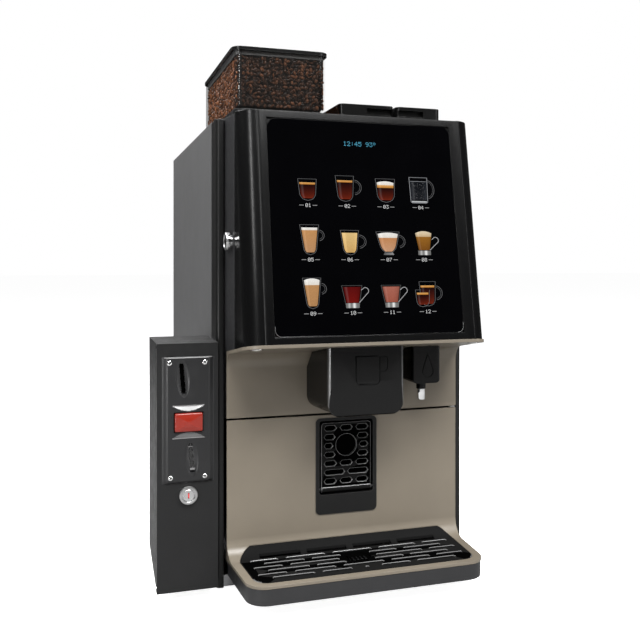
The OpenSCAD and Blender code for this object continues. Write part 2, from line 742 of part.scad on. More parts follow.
// Ends of the moulding's fillet, which the heads under the fascia clear
fillet_low = under(-wall_y) - lip - 22;
fillet_far = wall_y + 22;
head_half = 55.5;
head_back_half = 61;
head_z0 = 254;
head_front = 95;
module outlet_head() {
    color("black") place() difference() {
        intersection() {
            prism(rounded([[-head_back_half, -wall_y], [head_back_half, -wall_y], [head_half, -head_front],
                [-head_half, -head_front]], [0, 0, 6, 6]), head_z0, 352);
            front_prism(-120, 0) polygon(rounded(box_outline(-head_back_half, head_z0, head_back_half, 380),
                [14, 14, 0, 0]));
            // Top follows the underside of the fascia, bottom corners rounded in side view
            side_prism(-80, 80) polygon(rounded([[-wall_y, head_z0], [-wall_y, fillet_low],
                [-fillet_far, under(-fillet_far) - lip - 1], [-head_front - 3, under(-head_front - 3) - lip],
                [-head_front + 3, head_z0]], [10, 0, 0, 0, 5]));
        }
        // Hollow from below, leaving a wall and a floor ring round the spouts
        block([-head_half + 4, -head_front + 8, head_z0 - 1], [head_half - 4, -wall_y - 6, 318]);
    }
    // Spout block and two coffee spouts inside the head
    color("black") place() {
        block([-30, -72, 300], [30, -42, 318 + eps]);
        for (x = [-10, 10]) difference() {
            upright(x, -58, 264, 300, 6);
            upright(x, -58, 263, 301 - 4, 4);
        }
    }
}
water_x0 = 84;
water_x1 = 128;
water_front = 60;
water_z0 = 290;
nozzle_x = 106;
nozzle_y = -40;
module water_outlet() {
    color("black") place() difference() {
        intersection() {
            prism(rounded([[water_x0 - 2, -wall_y], [water_x1 + 2, -wall_y], [water_x1, -water_front],
                [water_x0, -water_front]], [0, 0, 4, 4]), water_z0, 350);
            front_prism(-80, 0) polygon(rounded(box_outline(water_x0 - 2, water_z0, water_x1 + 2, 380),
                [7, 7, 0, 0]));
            side_prism(60, 150) polygon([[-wall_y, water_z0 + 4], [-wall_y, fillet_low],
                [-fillet_far, under(-fillet_far) - lip - 1], [-water_front - 1, under(-water_front - 1) - lip],
                [-water_front, water_z0]]);
        }
        upright(nozzle_x, nozzle_y, water_z0 - 1, water_z0 + 30, 5.5);
    }
}
module water_nozzle() {
    color("silver") place() difference() {
        union() {
            upright(nozzle_x, nozzle_y, 263, water_z0 + 30, 5.5 - running_clear);
            upright(nozzle_x, nozzle_y, water_z0 - 9, water_z0, 8);
        }
        upright(nozzle_x, nozzle_y, 262, water_z0 + 10, 4);
    }
}

lock_y = -25;
lock_z = 496;
lock_r = 9;
module door_lock() {
    color("silver") place() difference() {
        union() {
            along_x(lock_y, lock_z, -door_half_w - 2, -door_half_w + 14, lock_r);
            along_x(lock_y, lock_z, -door_half_w - 2, -door_half_w + 1, 12.5);
            // Cam inside the door
            along_x(lock_y, lock_z, -door_half_w + 14, -door_half_w + 18, 6);
            block([-door_half_w + 15, lock_y - 5, lock_z - 5], [-door_half_w + 18, lock_y + 24, lock_z + 5]);
        }
        block([-door_half_w - 3, lock_y - 1, lock_z - 4.5], [-door_half_w + 4, lock_y + 1, lock_z + 4.5]);
    }
}

// ---------------------------------------------------------------- lower front and drawer

moulding_z1 = split_z - 1.5;
tray_back_half = 177;
rim_w = 11;
stand_half = 47.5;
stand_z0 = 96.5;
stand_z1 = 237.5;
recess_half = 42;
recess_z0 = 125;
recess_z1 = 233.5;
function tray_plan(inset, r) =
    rounded([[tray_back_half - inset, -wall_y - 2], [tray_half_w - inset, -tray_front + inset],
        [-tray_half_w + inset, -tray_front + inset], [-tray_back_half + inset, -wall_y - 2]], [22, r, r, 22], 12);

sweep_r = 26;
// Side outline of the lower moulding: wall, sweep and the rim over the tray
module lower_profile(extra) {
    wall = -wall_y;
    polygon(concat(
        rounded([[-tray_front - 10, tray_z], [wall, tray_z], [wall, moulding_z1]], [0, sweep_r, 0], 16),
        [[wall + 3, moulding_z1], [wall + 3, tray_z - 4 - extra], [-tray_front - 10, tray_z - 4 - extra]]));
}
module lower_moulding() {
    color([0.55, 0.5, 0.44]) place() difference() {
        intersection() {
            side_prism(-door_half_w + 0.5, door_half_w - 0.5) lower_profile(0);
            prism(front_plan(door_half_w - 0.5, tray_half_w, tray_front, 28), 20, moulding_z1 + 1);
        }
        // Opening that the grille lies in
        prism(tray_plan(rim_w, 20), tray_z - 10, tray_z + 40);
        // Opening for the cup stand
        front_prism(-40, 10) polygon(rounded(box_outline(-stand_half + 1, stand_z0 + 1, stand_half - 1, stand_z1 - 1),
            [6, 6, 6, 6]));
    }
}
tray_z0 = 22;
module drip_tray() {
    color("black") place() difference() {
        prism(rounded([[tray_back_half, -wall_y + 3], [tray_half_w - 0.6, -tray_front + 0.6],
            [-tray_half_w + 0.6, -tray_front + 0.6], [-tray_back_half, -wall_y + 3]], [0, 28, 28, 0], 12),
            tray_z0, tray_z - 4.2);
        prism(tray_plan(rim_w + 3, 17), tray_z0 + 3, tray_z);
    }
}

grille_gap = 0.5;
grille_t = 4;
slot_w = 5;
row_y = -33.5;
row_step = 12.6;
recess_y = -58.5;
recess_r = 18.5;
// Ends of the slots right of the middle in each kind of row; the left half mirrors them
odd_slots = [[42, 98.5], [111.5, 150]];
hole_slots = [[28.5, 98.5], [111.5, 150]];
even_slots = [[22.5, 63.5], [76, 133]];
function sweep_arc(r, n) =
    let (c = [-wall_y - sweep_r, tray_z + 0.4 + sweep_r], last = asin((sweep_r - 2 - grille_gap) / r))
    [for (i = [0:n]) c + r * [sin(last * i / n), -cos(last * i / n)]];
// Slot with round ends
module grille_slot(x, half, y) {
    r = slot_w / 2;
    block([x - half + r, y - r, tray_z - 6], [x + half - r, y + r, tray_z + 6]);
    for (s = [-1, 1]) upright(x + s * (half - r), y, tray_z - 6, tray_z + 6, r);
}
// Flat grille with staggered slots and a round cup recess, swept up at the rear
module drip_grille() {
    color("black") place() difference() {
        intersection() {
            prism(tray_plan(rim_w + grille_gap, 20 - grille_gap), tray_z - 6, tray_z + 40);
            side_prism(-200, 200) polygon(concat([[-tray_front, tray_z + 0.4]], sweep_arc(sweep_r, 10),
                reverse(sweep_arc(sweep_r + grille_t, 10)), [[-tray_front, tray_z + 0.4 - grille_t]]));
        }
        // Back row of four long slots at the foot of the sweep
        for (i = [-1.5:1:1.5]) block([i * 70 - 30, -26.5, tray_z - 6], [i * 70 + 30, -19, tray_z + 10]);
        // Staggered rows
        for (row = [0:5], s = [-1, 1])
            for (ends = row % 2 == 1 ? even_slots : row == 2 ? hole_slots : odd_slots)
                grille_slot(s * (ends[0] + ends[1]) / 2, (ends[1] - ends[0]) / 2, row_y - row * row_step);
        for (row = [0, 4]) grille_slot(0, 29, row_y - row * row_step);
        upright(0, row_y - 5 * row_step, tray_z - 6, tray_z + 6, 2);
        // Round recess, left with a floor
        upright(0, recess_y, tray_z - 2, tray_z + 6, recess_r);
        for (dx = [-12:6:12]) block([dx - 1.5, recess_y - 10, tray_z - 6], [dx + 1.5, recess_y + 10, tray_z]);
    }
}

hinge_stand_y = -wall_y + 2;
hinge_stand_z = recess_z0 + 7;
stand_pin_r = 2;
module cup_stand_frame() {
    color("black") place() {
        difference() {
            union() {
                front_prism(-wall_y - 1.5, -wall_y) polygon(rounded(box_outline(-stand_half, stand_z0, stand_half,
                    stand_z1), [7, 7, 7, 7]));
                front_prism(-wall_y, -wall_y + 13) polygon(rounded(box_outline(-stand_half + 1.5, stand_z0 + 1.5,
                    stand_half - 1.5, stand_z1 - 1.5), [6, 6, 6, 6]));
            }
            front_prism(-wall_y - 2, -wall_y + 9) polygon(rounded(box_outline(-recess_half, recess_z0, recess_half,
                recess_z1), [4, 4, 4, 4]));
        }
        // Hinge pin across the foot of the recess
        along_x(hinge_stand_y, hinge_stand_z, -recess_half, recess_half, stand_pin_r);
    }
}
leaf_half = 38.7;
leaf_z1 = 230;
leaf_hole_z = 196.5;
leaf_hole_r = 16;
slot_end = 34;
slot_half_h = 3.7;
// Hexagon-ended slot
module hex_slot(x, z, half, h) {
    polygon([[x - half, z], [x - half + 3, z - h], [x + half - 3, z - h], [x + half, z], [x + half - 3, z + h],
        [x - half + 3, z + h]]);
}
module cup_stand_grille() {
    color("black") place() difference() {
        union() {
            front_prism(hinge_stand_y - 2, hinge_stand_y + 3) difference() {
                polygon(rounded(box_outline(-leaf_half, hinge_stand_z, leaf_half, leaf_z1), [1, 1, 5, 5]));
                for (row = [0:6]) {
                    z = hinge_stand_z + 12 + row * 13;
                    beside = abs(z - leaf_hole_z) < 22;
                    if (beside) {
                        reach = row == 4 ? 6.6 : 8.2;
                        for (s = [-1, 1]) hex_slot(s * (slot_end - reach), z, reach, slot_half_h);
                    } else if (row == 1) {
                        for (s = [-1, 1]) hex_slot(s * 18.3, z, slot_end - 18.3, slot_half_h);
                    } else {
                        for (x = [-24.7, 0, 24.7]) hex_slot(x, z, slot_end - 24.7, slot_half_h);
                    }
                }
            }
            along_x(hinge_stand_y, hinge_stand_z, -leaf_half, leaf_half, 3.8);
        }
        // Round recess for the cup
        along_y(0, leaf_hole_z, hinge_stand_y - 3, hinge_stand_y + 1.5, leaf_hole_r);
        along_x(hinge_stand_y, hinge_stand_z, -leaf_half - 1, leaf_half + 1, stand_pin_r + running_clear);
    }
}

chassis_half = 172;
bin_x = 120;
bin_y0 = 40;
bin_y1 = 215;
bin_z1 = 232;
module drawer_chassis() {
    color("silver") place() difference() {
        union() {
            block([-chassis_half, -wall_y + 3, 27], [chassis_half, 258, 29]);
            // Upright behind the lower moulding
            block([-chassis_half, 6, 29], [chassis_half, 8, split_z - 4]);
            for (s = [-1, 1]) {
                x0 = s > 0 ? chassis_half - 2 : -chassis_half;
                block([x0, 8, 29], [x0 + 2, 258, 70]);
                // Slide bars that run beside the rails
                x1 = s > 0 ? chassis_half : -chassis_half - 3;
                block([x1, 50, 40], [x1 + 3, 256, 56]);
            }
            // Ties to the wall of the lower moulding
            for (x = [-140, 140], z = [90, 200]) block([x - 10, -wall_y + 3, z], [x + 10, 6, z + 12]);
        }
        block([-stand_half, -wall_y, stand_z0], [stand_half, 9, stand_z1]);
    }
}
module grounds_bin() {
    color("dimgray") place() difference() {
        prism(rounded(box_outline(-bin_x - 20, bin_y0, bin_x, bin_y1), [12, 12, 12, 12]), 29.4, bin_z1);
        prism(rounded(box_outline(-bin_x - 17, bin_y0 + 3, bin_x - 3, bin_y1 - 3), [9, 9, 9, 9]), 33, bin_z1 + 1);
    }
}

// ---------------------------------------------------------------- coin unit

coin_x1 = -half_w;
coin_x0 = -half_w - coin_w;
coin_y0 = -20;
coin_y1 = coin_y0 + coin_d;
coin_z0 = 13;
coin_slope = 33;
coin_mid = (coin_x0 + coin_x1) / 2;
coin_door_t = 14;
coin_sheet = 2;
// Side outline of the housing: the rear of its floor slopes up
function coin_outline(y0, y1, z0, z1, slope) = [[y0, z0], [y1, z0 + slope], [y1, z1], [y0, z1]];
// The coin door hangs on two tabs at its left edge, each with a short pin
coin_pin_x = coin_x0 + 3;
coin_pin_y = coin_y0 + coin_door_t - 3;
coin_pin_r = 1.2;
tab_top = coin_top - 3.5;
tab_low = coin_z0 + 5.5;
module coin_tabs() {
    for (z = [tab_top - 3.5, tab_low])
        block([coin_pin_x - 2, coin_pin_y - 2, z], [coin_pin_x + 2, coin_y0 + coin_door_t + 8, z + 3.5]);
    upright(coin_pin_x, coin_pin_y, tab_top, coin_top - 1, coin_pin_r);
    upright(coin_pin_x, coin_pin_y, coin_z0 + 1, tab_low, coin_pin_r);
}
module coin_box() {
    color("dimgray") place() coin_tabs();
    color("dimgray") place() difference() {
        side_prism(coin_x0, coin_x1)
            polygon(coin_outline(coin_y0 + coin_door_t + 1.6, coin_y1, coin_z0 + 5, coin_top, coin_slope - 5));
        side_prism(coin_x0 + coin_sheet, coin_x1 - coin_sheet)
            polygon(coin_outline(coin_y0, coin_y1 - coin_sheet, coin_z0 + 7, coin_top - coin_sheet, coin_slope - 5));
    }
}
module cash_box() {
    color("silver") place() difference() {
        side_prism(coin_x0 + 8, coin_x1 - 8)
            polygon(coin_outline(10, coin_y1 - 8, 56, 130, 0));
        side_prism(coin_x0 + 10, coin_x1 - 10)
            polygon(coin_outline(12, coin_y1 - 10, 58, 131, 0));
    }
    // Shelf that the cash box stands on
    color("silver") place() block([coin_x0 + coin_sheet, 4, 54], [coin_x1 - coin_sheet, coin_y1 - coin_sheet, 56]);
}
module coin_validator() {
    color("black") place() {
        block([coin_mid - 26, 12, 190], [coin_mid + 26, coin_y1 - coin_sheet, 330]);
        block([coin_mid - 10, 2, 300], [coin_mid + 10, 12, 330]);
    }
}
slot_x = coin_mid - 8;
slot_z = 306;
return_x = coin_mid + 4;
return_z = 197;
button_z = 247;
button_half = [19, 12.5];
coin_lock_z = 146;
coin_lock_r = 8;
// Door of the coin unit: a shallow pan carrying the coin plate
module coin_door() {
    color("dimgray") place() difference() {
        block([coin_x0, coin_y0, coin_z0], [coin_x1 - 0.7, coin_y0 + coin_door_t, coin_top]);
        block([coin_x0 + 3, coin_y0 + 3, coin_z0 + 3], [coin_x1 - 3.7, coin_y0 + coin_door_t + 1, coin_top - 3]);
        block([slot_x - 4, coin_y0 - 1, slot_z - 24], [slot_x + 4, coin_y0 + 4, slot_z + 24]);
        block([coin_mid - button_half[0] - 2, coin_y0 - 1, button_z - button_half[1] - 2],
            [coin_mid + button_half[0] + 2, coin_y0 + 4, button_z + button_half[1] + 2]);
        block([return_x - 10, coin_y0 - 1, return_z - 22], [return_x + 10, coin_y0 + 4, return_z + 22]);
        along_y(coin_mid, coin_lock_z, coin_y0 - 1, coin_y0 + 4, coin_lock_r + running_clear);
        // Notches round the hinge tabs, and the bores of their pins
        for (z = [[coin_z0 + 3, tab_low + 4], [tab_top - 4, coin_top - 3]])
            block([coin_x0 - 1, coin_y0 + 3, z[0]], [coin_x0 + 3 + eps, coin_y0 + coin_door_t + 1, z[1]]);
        upright(coin_pin_x, coin_pin_y, coin_z0 + 0.5, coin_top - 0.5, coin_pin_r + running_clear);
    }
}
plate_half = 36;
plate_z0 = 162.5;
plate_z1 = 336.5;
plate_proud = 5;
flap_rod_r = 1.5;
module coin_plate() {
    y0 = coin_y0 - plate_proud;
    color("dimgray") place() difference() {
        union() {
            front_prism(coin_y0 - 2, coin_y0) polygon(rounded(box_outline(coin_mid - plate_half, plate_z0,
                coin_mid + plate_half, plate_z1), [5, 5, 5, 5]));
            front_prism(y0, coin_y0 - 2) polygon(rounded(box_outline(coin_mid - 26, plate_z0 + 3, coin_mid + 26,
                plate_z1 - 3), [8, 8, 8, 8]));
        }
        // Coin slot in an oval scoop
        along_y(slot_x, slot_z + 12, y0 - 1, y0 + 2, 9);
        along_y(slot_x, slot_z - 12, y0 - 1, y0 + 2, 9);
        block([slot_x - 9, y0 - 1, slot_z - 12], [slot_x + 9, y0 + 2, slot_z + 12]);
        block([slot_x - 3, y0 - 1, slot_z - 20], [slot_x + 3, coin_y0 + 1, slot_z + 20]);
        // Button window
        block([coin_mid - button_half[0] - 0.4, y0 - 1, button_z - button_half[1] - 0.4],
            [coin_mid + button_half[0] + 0.4, coin_y0 + 1, button_z + button_half[1] + 0.4]);
        // Return opening
        block([return_x - 8.5, y0 - 1, return_z - 19], [return_x + 8.5, coin_y0 + 1, return_z + 19]);
        along_x(coin_y0 - 2.4, return_z + 15, return_x - 11, return_x + 11, flap_rod_r + running_clear);
    }
}
module coin_button() {
    color("red") place() {
        block([coin_mid - button_half[0], coin_y0 - plate_proud - 5, button_z - button_half[1]],
            [coin_mid + button_half[0], coin_y0 + 1, button_z + button_half[1]]);
        along_y(coin_mid, button_z, coin_y0 + 1, coin_y0 + 5, 5);
    }
}
flap_z = return_z + 15;
module coin_return_flap() {
    color([0.8, 0.8, 0.8]) place() {
        along_x(coin_y0 - 2.4, flap_z, return_x - 10.5, return_x + 10.5, flap_rod_r);
        block([return_x - 8, coin_y0 - 3, return_z - 16], [return_x + 8, coin_y0 - 1, flap_z]);
    }
}
module coin_lock() {
    color("silver") place() difference() {
        union() {
            along_y(coin_mid, coin_lock_z, coin_y0 - 4, coin_y0 + 12, coin_lock_r);
            along_y(coin_mid, coin_lock_z, coin_y0 - 4, coin_y0 - 0.4, 12.5);
            // Cam behind the coin door's front
            block([coin_mid - 5, coin_y0 + 8, coin_lock_z - 5], [coin_mid + 26, coin_y0 + 11, coin_lock_z + 5]);
        }
        block([coin_mid - 1, coin_y0 - 5, coin_lock_z - 4.5], [coin_mid + 1, coin_y0, coin_lock_z + 4.5]);
    }
}

// ---------------------------------------------------------------- drawing

feet();
base_pan();
left_side_panel();
right_side_panel();
rear_panel();
top_cover();
left_column();
right_column();
inner_chassis();
hinge_pins();
hopper_base();
bean_hopper();
hopper_lid();
canister_lid_left();
canister_lid_right();
grinder();
grinder_burr();
brewer();
brew_piston();
instant_canisters();
auger_left();
auger_right();
drive_motors();
mixing_bowls();
whipper_left();
whipper_right();
boiler();
water_pump();
inlet_valve();
power_inlet();
power_switch();
power_supply();
control_board();
fan_impeller();
water_pipes();
door_frame();
door_liner();
fascia_shell();
touch_glass();
display_module();
upper_moulding();
outlet_head();
water_outlet();
water_nozzle();
door_lock();
lower_moulding();
drip_tray();
drip_grille();
cup_stand_frame();
cup_stand_grille();
drawer_chassis();
grounds_bin();
coin_box();
cash_box();
coin_validator();
coin_door();
coin_plate();
coin_button();
coin_return_flap();
coin_lock();
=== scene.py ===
"""Looks of a table-top bean-to-cup coffee vending machine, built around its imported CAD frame.

Pieces are drawn in the cabinet's own frame in millimetres: X = 0 is the middle of the cabinet, Y = 0 is the
front of its columns, which face -Y, and Z = 0 is the floor. at() takes such a point to metres of the model.
"""

import functools
import json
import math
import random

import bmesh
import bpy
from mathutils import Matrix, Vector


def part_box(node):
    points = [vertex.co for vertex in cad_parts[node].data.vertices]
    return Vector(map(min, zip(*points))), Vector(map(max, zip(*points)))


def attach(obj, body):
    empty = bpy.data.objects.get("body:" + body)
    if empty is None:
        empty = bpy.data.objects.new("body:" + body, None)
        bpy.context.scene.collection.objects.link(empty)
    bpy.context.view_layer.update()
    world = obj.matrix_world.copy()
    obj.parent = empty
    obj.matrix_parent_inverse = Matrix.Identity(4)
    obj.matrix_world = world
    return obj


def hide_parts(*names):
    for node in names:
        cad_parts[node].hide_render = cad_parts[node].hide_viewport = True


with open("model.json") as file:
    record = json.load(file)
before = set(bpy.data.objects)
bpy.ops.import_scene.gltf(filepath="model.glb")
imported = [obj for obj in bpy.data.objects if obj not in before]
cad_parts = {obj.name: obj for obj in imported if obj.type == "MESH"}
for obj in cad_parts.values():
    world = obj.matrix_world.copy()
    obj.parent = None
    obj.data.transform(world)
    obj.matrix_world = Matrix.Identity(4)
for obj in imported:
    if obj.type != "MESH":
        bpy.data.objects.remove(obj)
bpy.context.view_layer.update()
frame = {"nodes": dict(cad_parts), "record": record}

MM = 0.001
LEFT_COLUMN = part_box("left_column")
RIGHT_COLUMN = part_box("right_column")
CABINET_X = (LEFT_COLUMN[0].x + RIGHT_COLUMN[1].x) / 2
CABINET_Y = LEFT_COLUMN[0].y


def at(x, y, z):
    """A point of the cabinet's frame in millimetres, as metres of the model's frame."""
    return Vector((CABINET_X + x * MM, CABINET_Y + y * MM, z * MM))


@functools.lru_cache(maxsize=None)
def span(node):
    """Lowest and highest corners of a CAD node, in the cabinet's frame in millimetres."""
    shift = Vector((CABINET_X, CABINET_Y, 0))
    low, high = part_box(node)
    return (low - shift) / MM, (high - shift) / MM


def middle(node):
    """Middle of a CAD node, in the cabinet's frame in millimetres."""
    low, high = span(node)
    return (low + high) / 2


# ---------------------------------------------------------------- camera

# Camera fitted to the straight edges of the machine in the photo: its focal length is in photo pixels, its
# place in the cabinet's frame, and HORIZON_SHIFT is its vertical shift as a share of the picture's width
PHOTO_WIDTH = 640
FOCAL_PIXELS = 795.6
SENSOR = 36
CAMERA_PLACE = (-387.7, -1122.0, 465.8)
CAMERA_YAW = math.radians(17.3)
HORIZON_SHIFT = -0.0894


def make_camera():
    data = bpy.data.cameras.new("camera")
    data.sensor_width = SENSOR
    data.lens = SENSOR * FOCAL_PIXELS / PHOTO_WIDTH
    data.shift_y = HORIZON_SHIFT
    camera = bpy.data.objects.new("camera", data)
    camera.location = at(*CAMERA_PLACE)
    camera.rotation_euler = (math.pi / 2, 0, -CAMERA_YAW)
    bpy.context.scene.collection.objects.link(camera)
    bpy.context.scene.camera = camera


# ---------------------------------------------------------------- materials


class Nodes:
    """A short way to build one node material."""

    def __init__(self, name):
        self.material = bpy.data.materials.new(name)
        self.material.use_nodes = True
        self.tree = self.material.node_tree
        self.shader = self.tree.nodes["Principled BSDF"]
        self.coords = self.tree.nodes.new("ShaderNodeTexCoord")

    def add(self, kind, **settings):
        node = self.tree.nodes.new(kind)
        for key, value in settings.items():
            if key in node.inputs:
                node.inputs[key].default_value = value
            else:
                setattr(node, key, value)
        return node

    def link(self, a, b):
        self.tree.links.new(a, b)

    def noise(self, size, detail=3, roughness=0.55, stretch=None):
        """Noise whose features are about size millimetres across."""
        node = self.add("ShaderNodeTexNoise", Scale=1 / (size * MM), Detail=detail, Roughness=roughness)
        place = self.coords.outputs["Object"]
        if stretch:
            mapping = self.add("ShaderNodeMapping", Scale=stretch)
            self.link(place, mapping.inputs["Vector"])
            place = mapping.outputs["Vector"]
        self.link(place, node.inputs["Vector"])
        return node.outputs["Fac"]

    def ramp(self, value, stops):
        node = self.add("ShaderNodeValToRGB")
        elements = node.color_ramp.elements
        while len(elements) < len(stops):
            elements.new(0.5)
        for element, (position, colour) in zip(elements, stops):
            element.position = position
            element.color = (*colour, 1) if hasattr(colour, "__len__") else (colour, colour, colour, 1)
        self.link(value, node.inputs["Fac"])
        return node.outputs["Color"]

    def bump(self, height, depth, normal=None):
        """Bump of depth millimetres."""
        node = self.add("ShaderNodeBump", Strength=1.0, Distance=depth * MM)
        self.link(height, node.inputs["Height"])
        if normal:
            self.link(normal, node.inputs["Normal"])
        return node.outputs["Normal"]


def shade(colour, factor):
    return tuple(min(1, c * factor) for c in colour)


def surface(name, colour, rough, metal=0.0, specular=0.5, grain=0.6, depth=0.02, mottle=40, vary=0.1,
            rough_vary=0.08, edge=0.5, stretch=None, alpha=1.0):
    """A finish with moulded or painted grain, slow changes of tone and gloss, and softened edges.

    A colour given as one number is a grey. grain, mottle, depth and edge are in millimetres.
    """
    if not isinstance(colour, tuple):
        colour = (colour,) * 3
    m = Nodes(name)
    s = m.shader
    s.inputs["Metallic"].default_value = metal
    s.inputs["Specular IOR Level"].default_value = specular
    s.inputs["Alpha"].default_value = alpha
    slow = m.noise(mottle, detail=4, stretch=stretch)
    tones = m.ramp(slow, [(0.3, shade(colour, 1 - vary)), (0.7, shade(colour, 1 + vary))])
    m.link(tones, s.inputs["Base Color"])
    patches = m.noise(mottle * 0.35, detail=5, roughness=0.65, stretch=stretch)
    glossy, dull = max(0.02, rough - rough_vary), min(1, rough + rough_vary)
    m.link(m.ramp(patches, [(0.3, glossy), (0.7, dull)]), s.inputs["Roughness"])
    rounded = None
    if edge:
        rounded = m.add("ShaderNodeBevel", samples=4, Radius=edge * MM).outputs["Normal"]
    fine = m.noise(grain, detail=2, stretch=stretch)
    m.link(m.bump(fine, depth, rounded), s.inputs["Normal"])
    return m.material


def tinted(name, size, detail, stops):
    """A material, and the colour of its mesh's own tint times a ramp of noise."""
    m = Nodes(name)
    mix = m.add("ShaderNodeMix", data_type="RGBA", blend_type="MULTIPLY")
    mix.inputs["Factor"].default_value = 1.0
    m.link(m.add("ShaderNodeVertexColor", layer_name="tint").outputs["Color"], mix.inputs["A"])
    m.link(m.ramp(m.noise(size, detail=detail), stops), mix.inputs["B"])
    return m, mix.outputs["Result"]


def painted_screen():
    """Lit pictures of the display, a little uneven like print behind glass."""
    m, colour = tinted("screen_picture", 1.1, 1, [(0.35, 0.86), (0.65, 1.0)])
    s = m.shader
    s.inputs["Base Color"].default_value = (0, 0, 0, 1)
    s.inputs["Roughness"].default_value = 0.4
    s.inputs["Specular IOR Level"].default_value = 0.0
    m.link(colour, s.inputs["Emission Color"])
    s.inputs["Emission Strength"].default_value = 1.0
    return m.material


def bean_finish():
    m, colour = tinted("roasted_bean", 2.0, 4, [(0.3, 0.7), (0.7, 1.15)])
    s = m.shader
    m.link(colour, s.inputs["Base Color"])
    m.link(m.ramp(m.noise(1.2), [(0.3, 0.3), (0.7, 0.48)]), s.inputs["Roughness"])
    m.link(m.bump(m.noise(0.7), 0.08), s.inputs["Normal"])
    s.inputs["Specular IOR Level"].default_value = 0.06
    return m.material


# Glow and whiteness of the floor as the camera sees it, and its whiteness for the light that it throws back
FLOOR_LIFT = 0.93
FLOOR_SEEN = 0.8
FLOOR_BOUNCE = 0.3


def floor_finish():
    """White floor, lifted to the tone of the backdrop where the camera sees it."""
    m = Nodes("studio_floor")
    seen = m.add("ShaderNodeLightPath").outputs["Is Camera Ray"]
    m.link(m.ramp(seen, [(0.0, FLOOR_BOUNCE), (1.0, FLOOR_SEEN)]), m.shader.inputs["Base Color"])
    m.shader.inputs["Roughness"].default_value = 0.7
    m.shader.inputs["Specular IOR Level"].default_value = 0.1
    m.shader.inputs["Emission Color"].default_value = (1, 1, 1, 1)
    lift = m.add("ShaderNodeMath", operation="MULTIPLY")
    m.link(seen, lift.inputs[0])
    lift.inputs[1].default_value = FLOOR_LIFT
    m.link(lift.outputs["Value"], m.shader.inputs["Emission Strength"])
    return m.material


# Settings that several finishes share
MOULDED = dict(mottle=120, rough_vary=0.02, edge=0)
CLEAR = dict(grain=20, depth=0.01, rough_vary=0.03, edge=0)
# Settings of the painted highlights on rounded edges
LIP = dict(specular=0.8, grain=0.8, depth=0.004, edge=0)
PLAIN = dict(grain=0.6, depth=0.01)
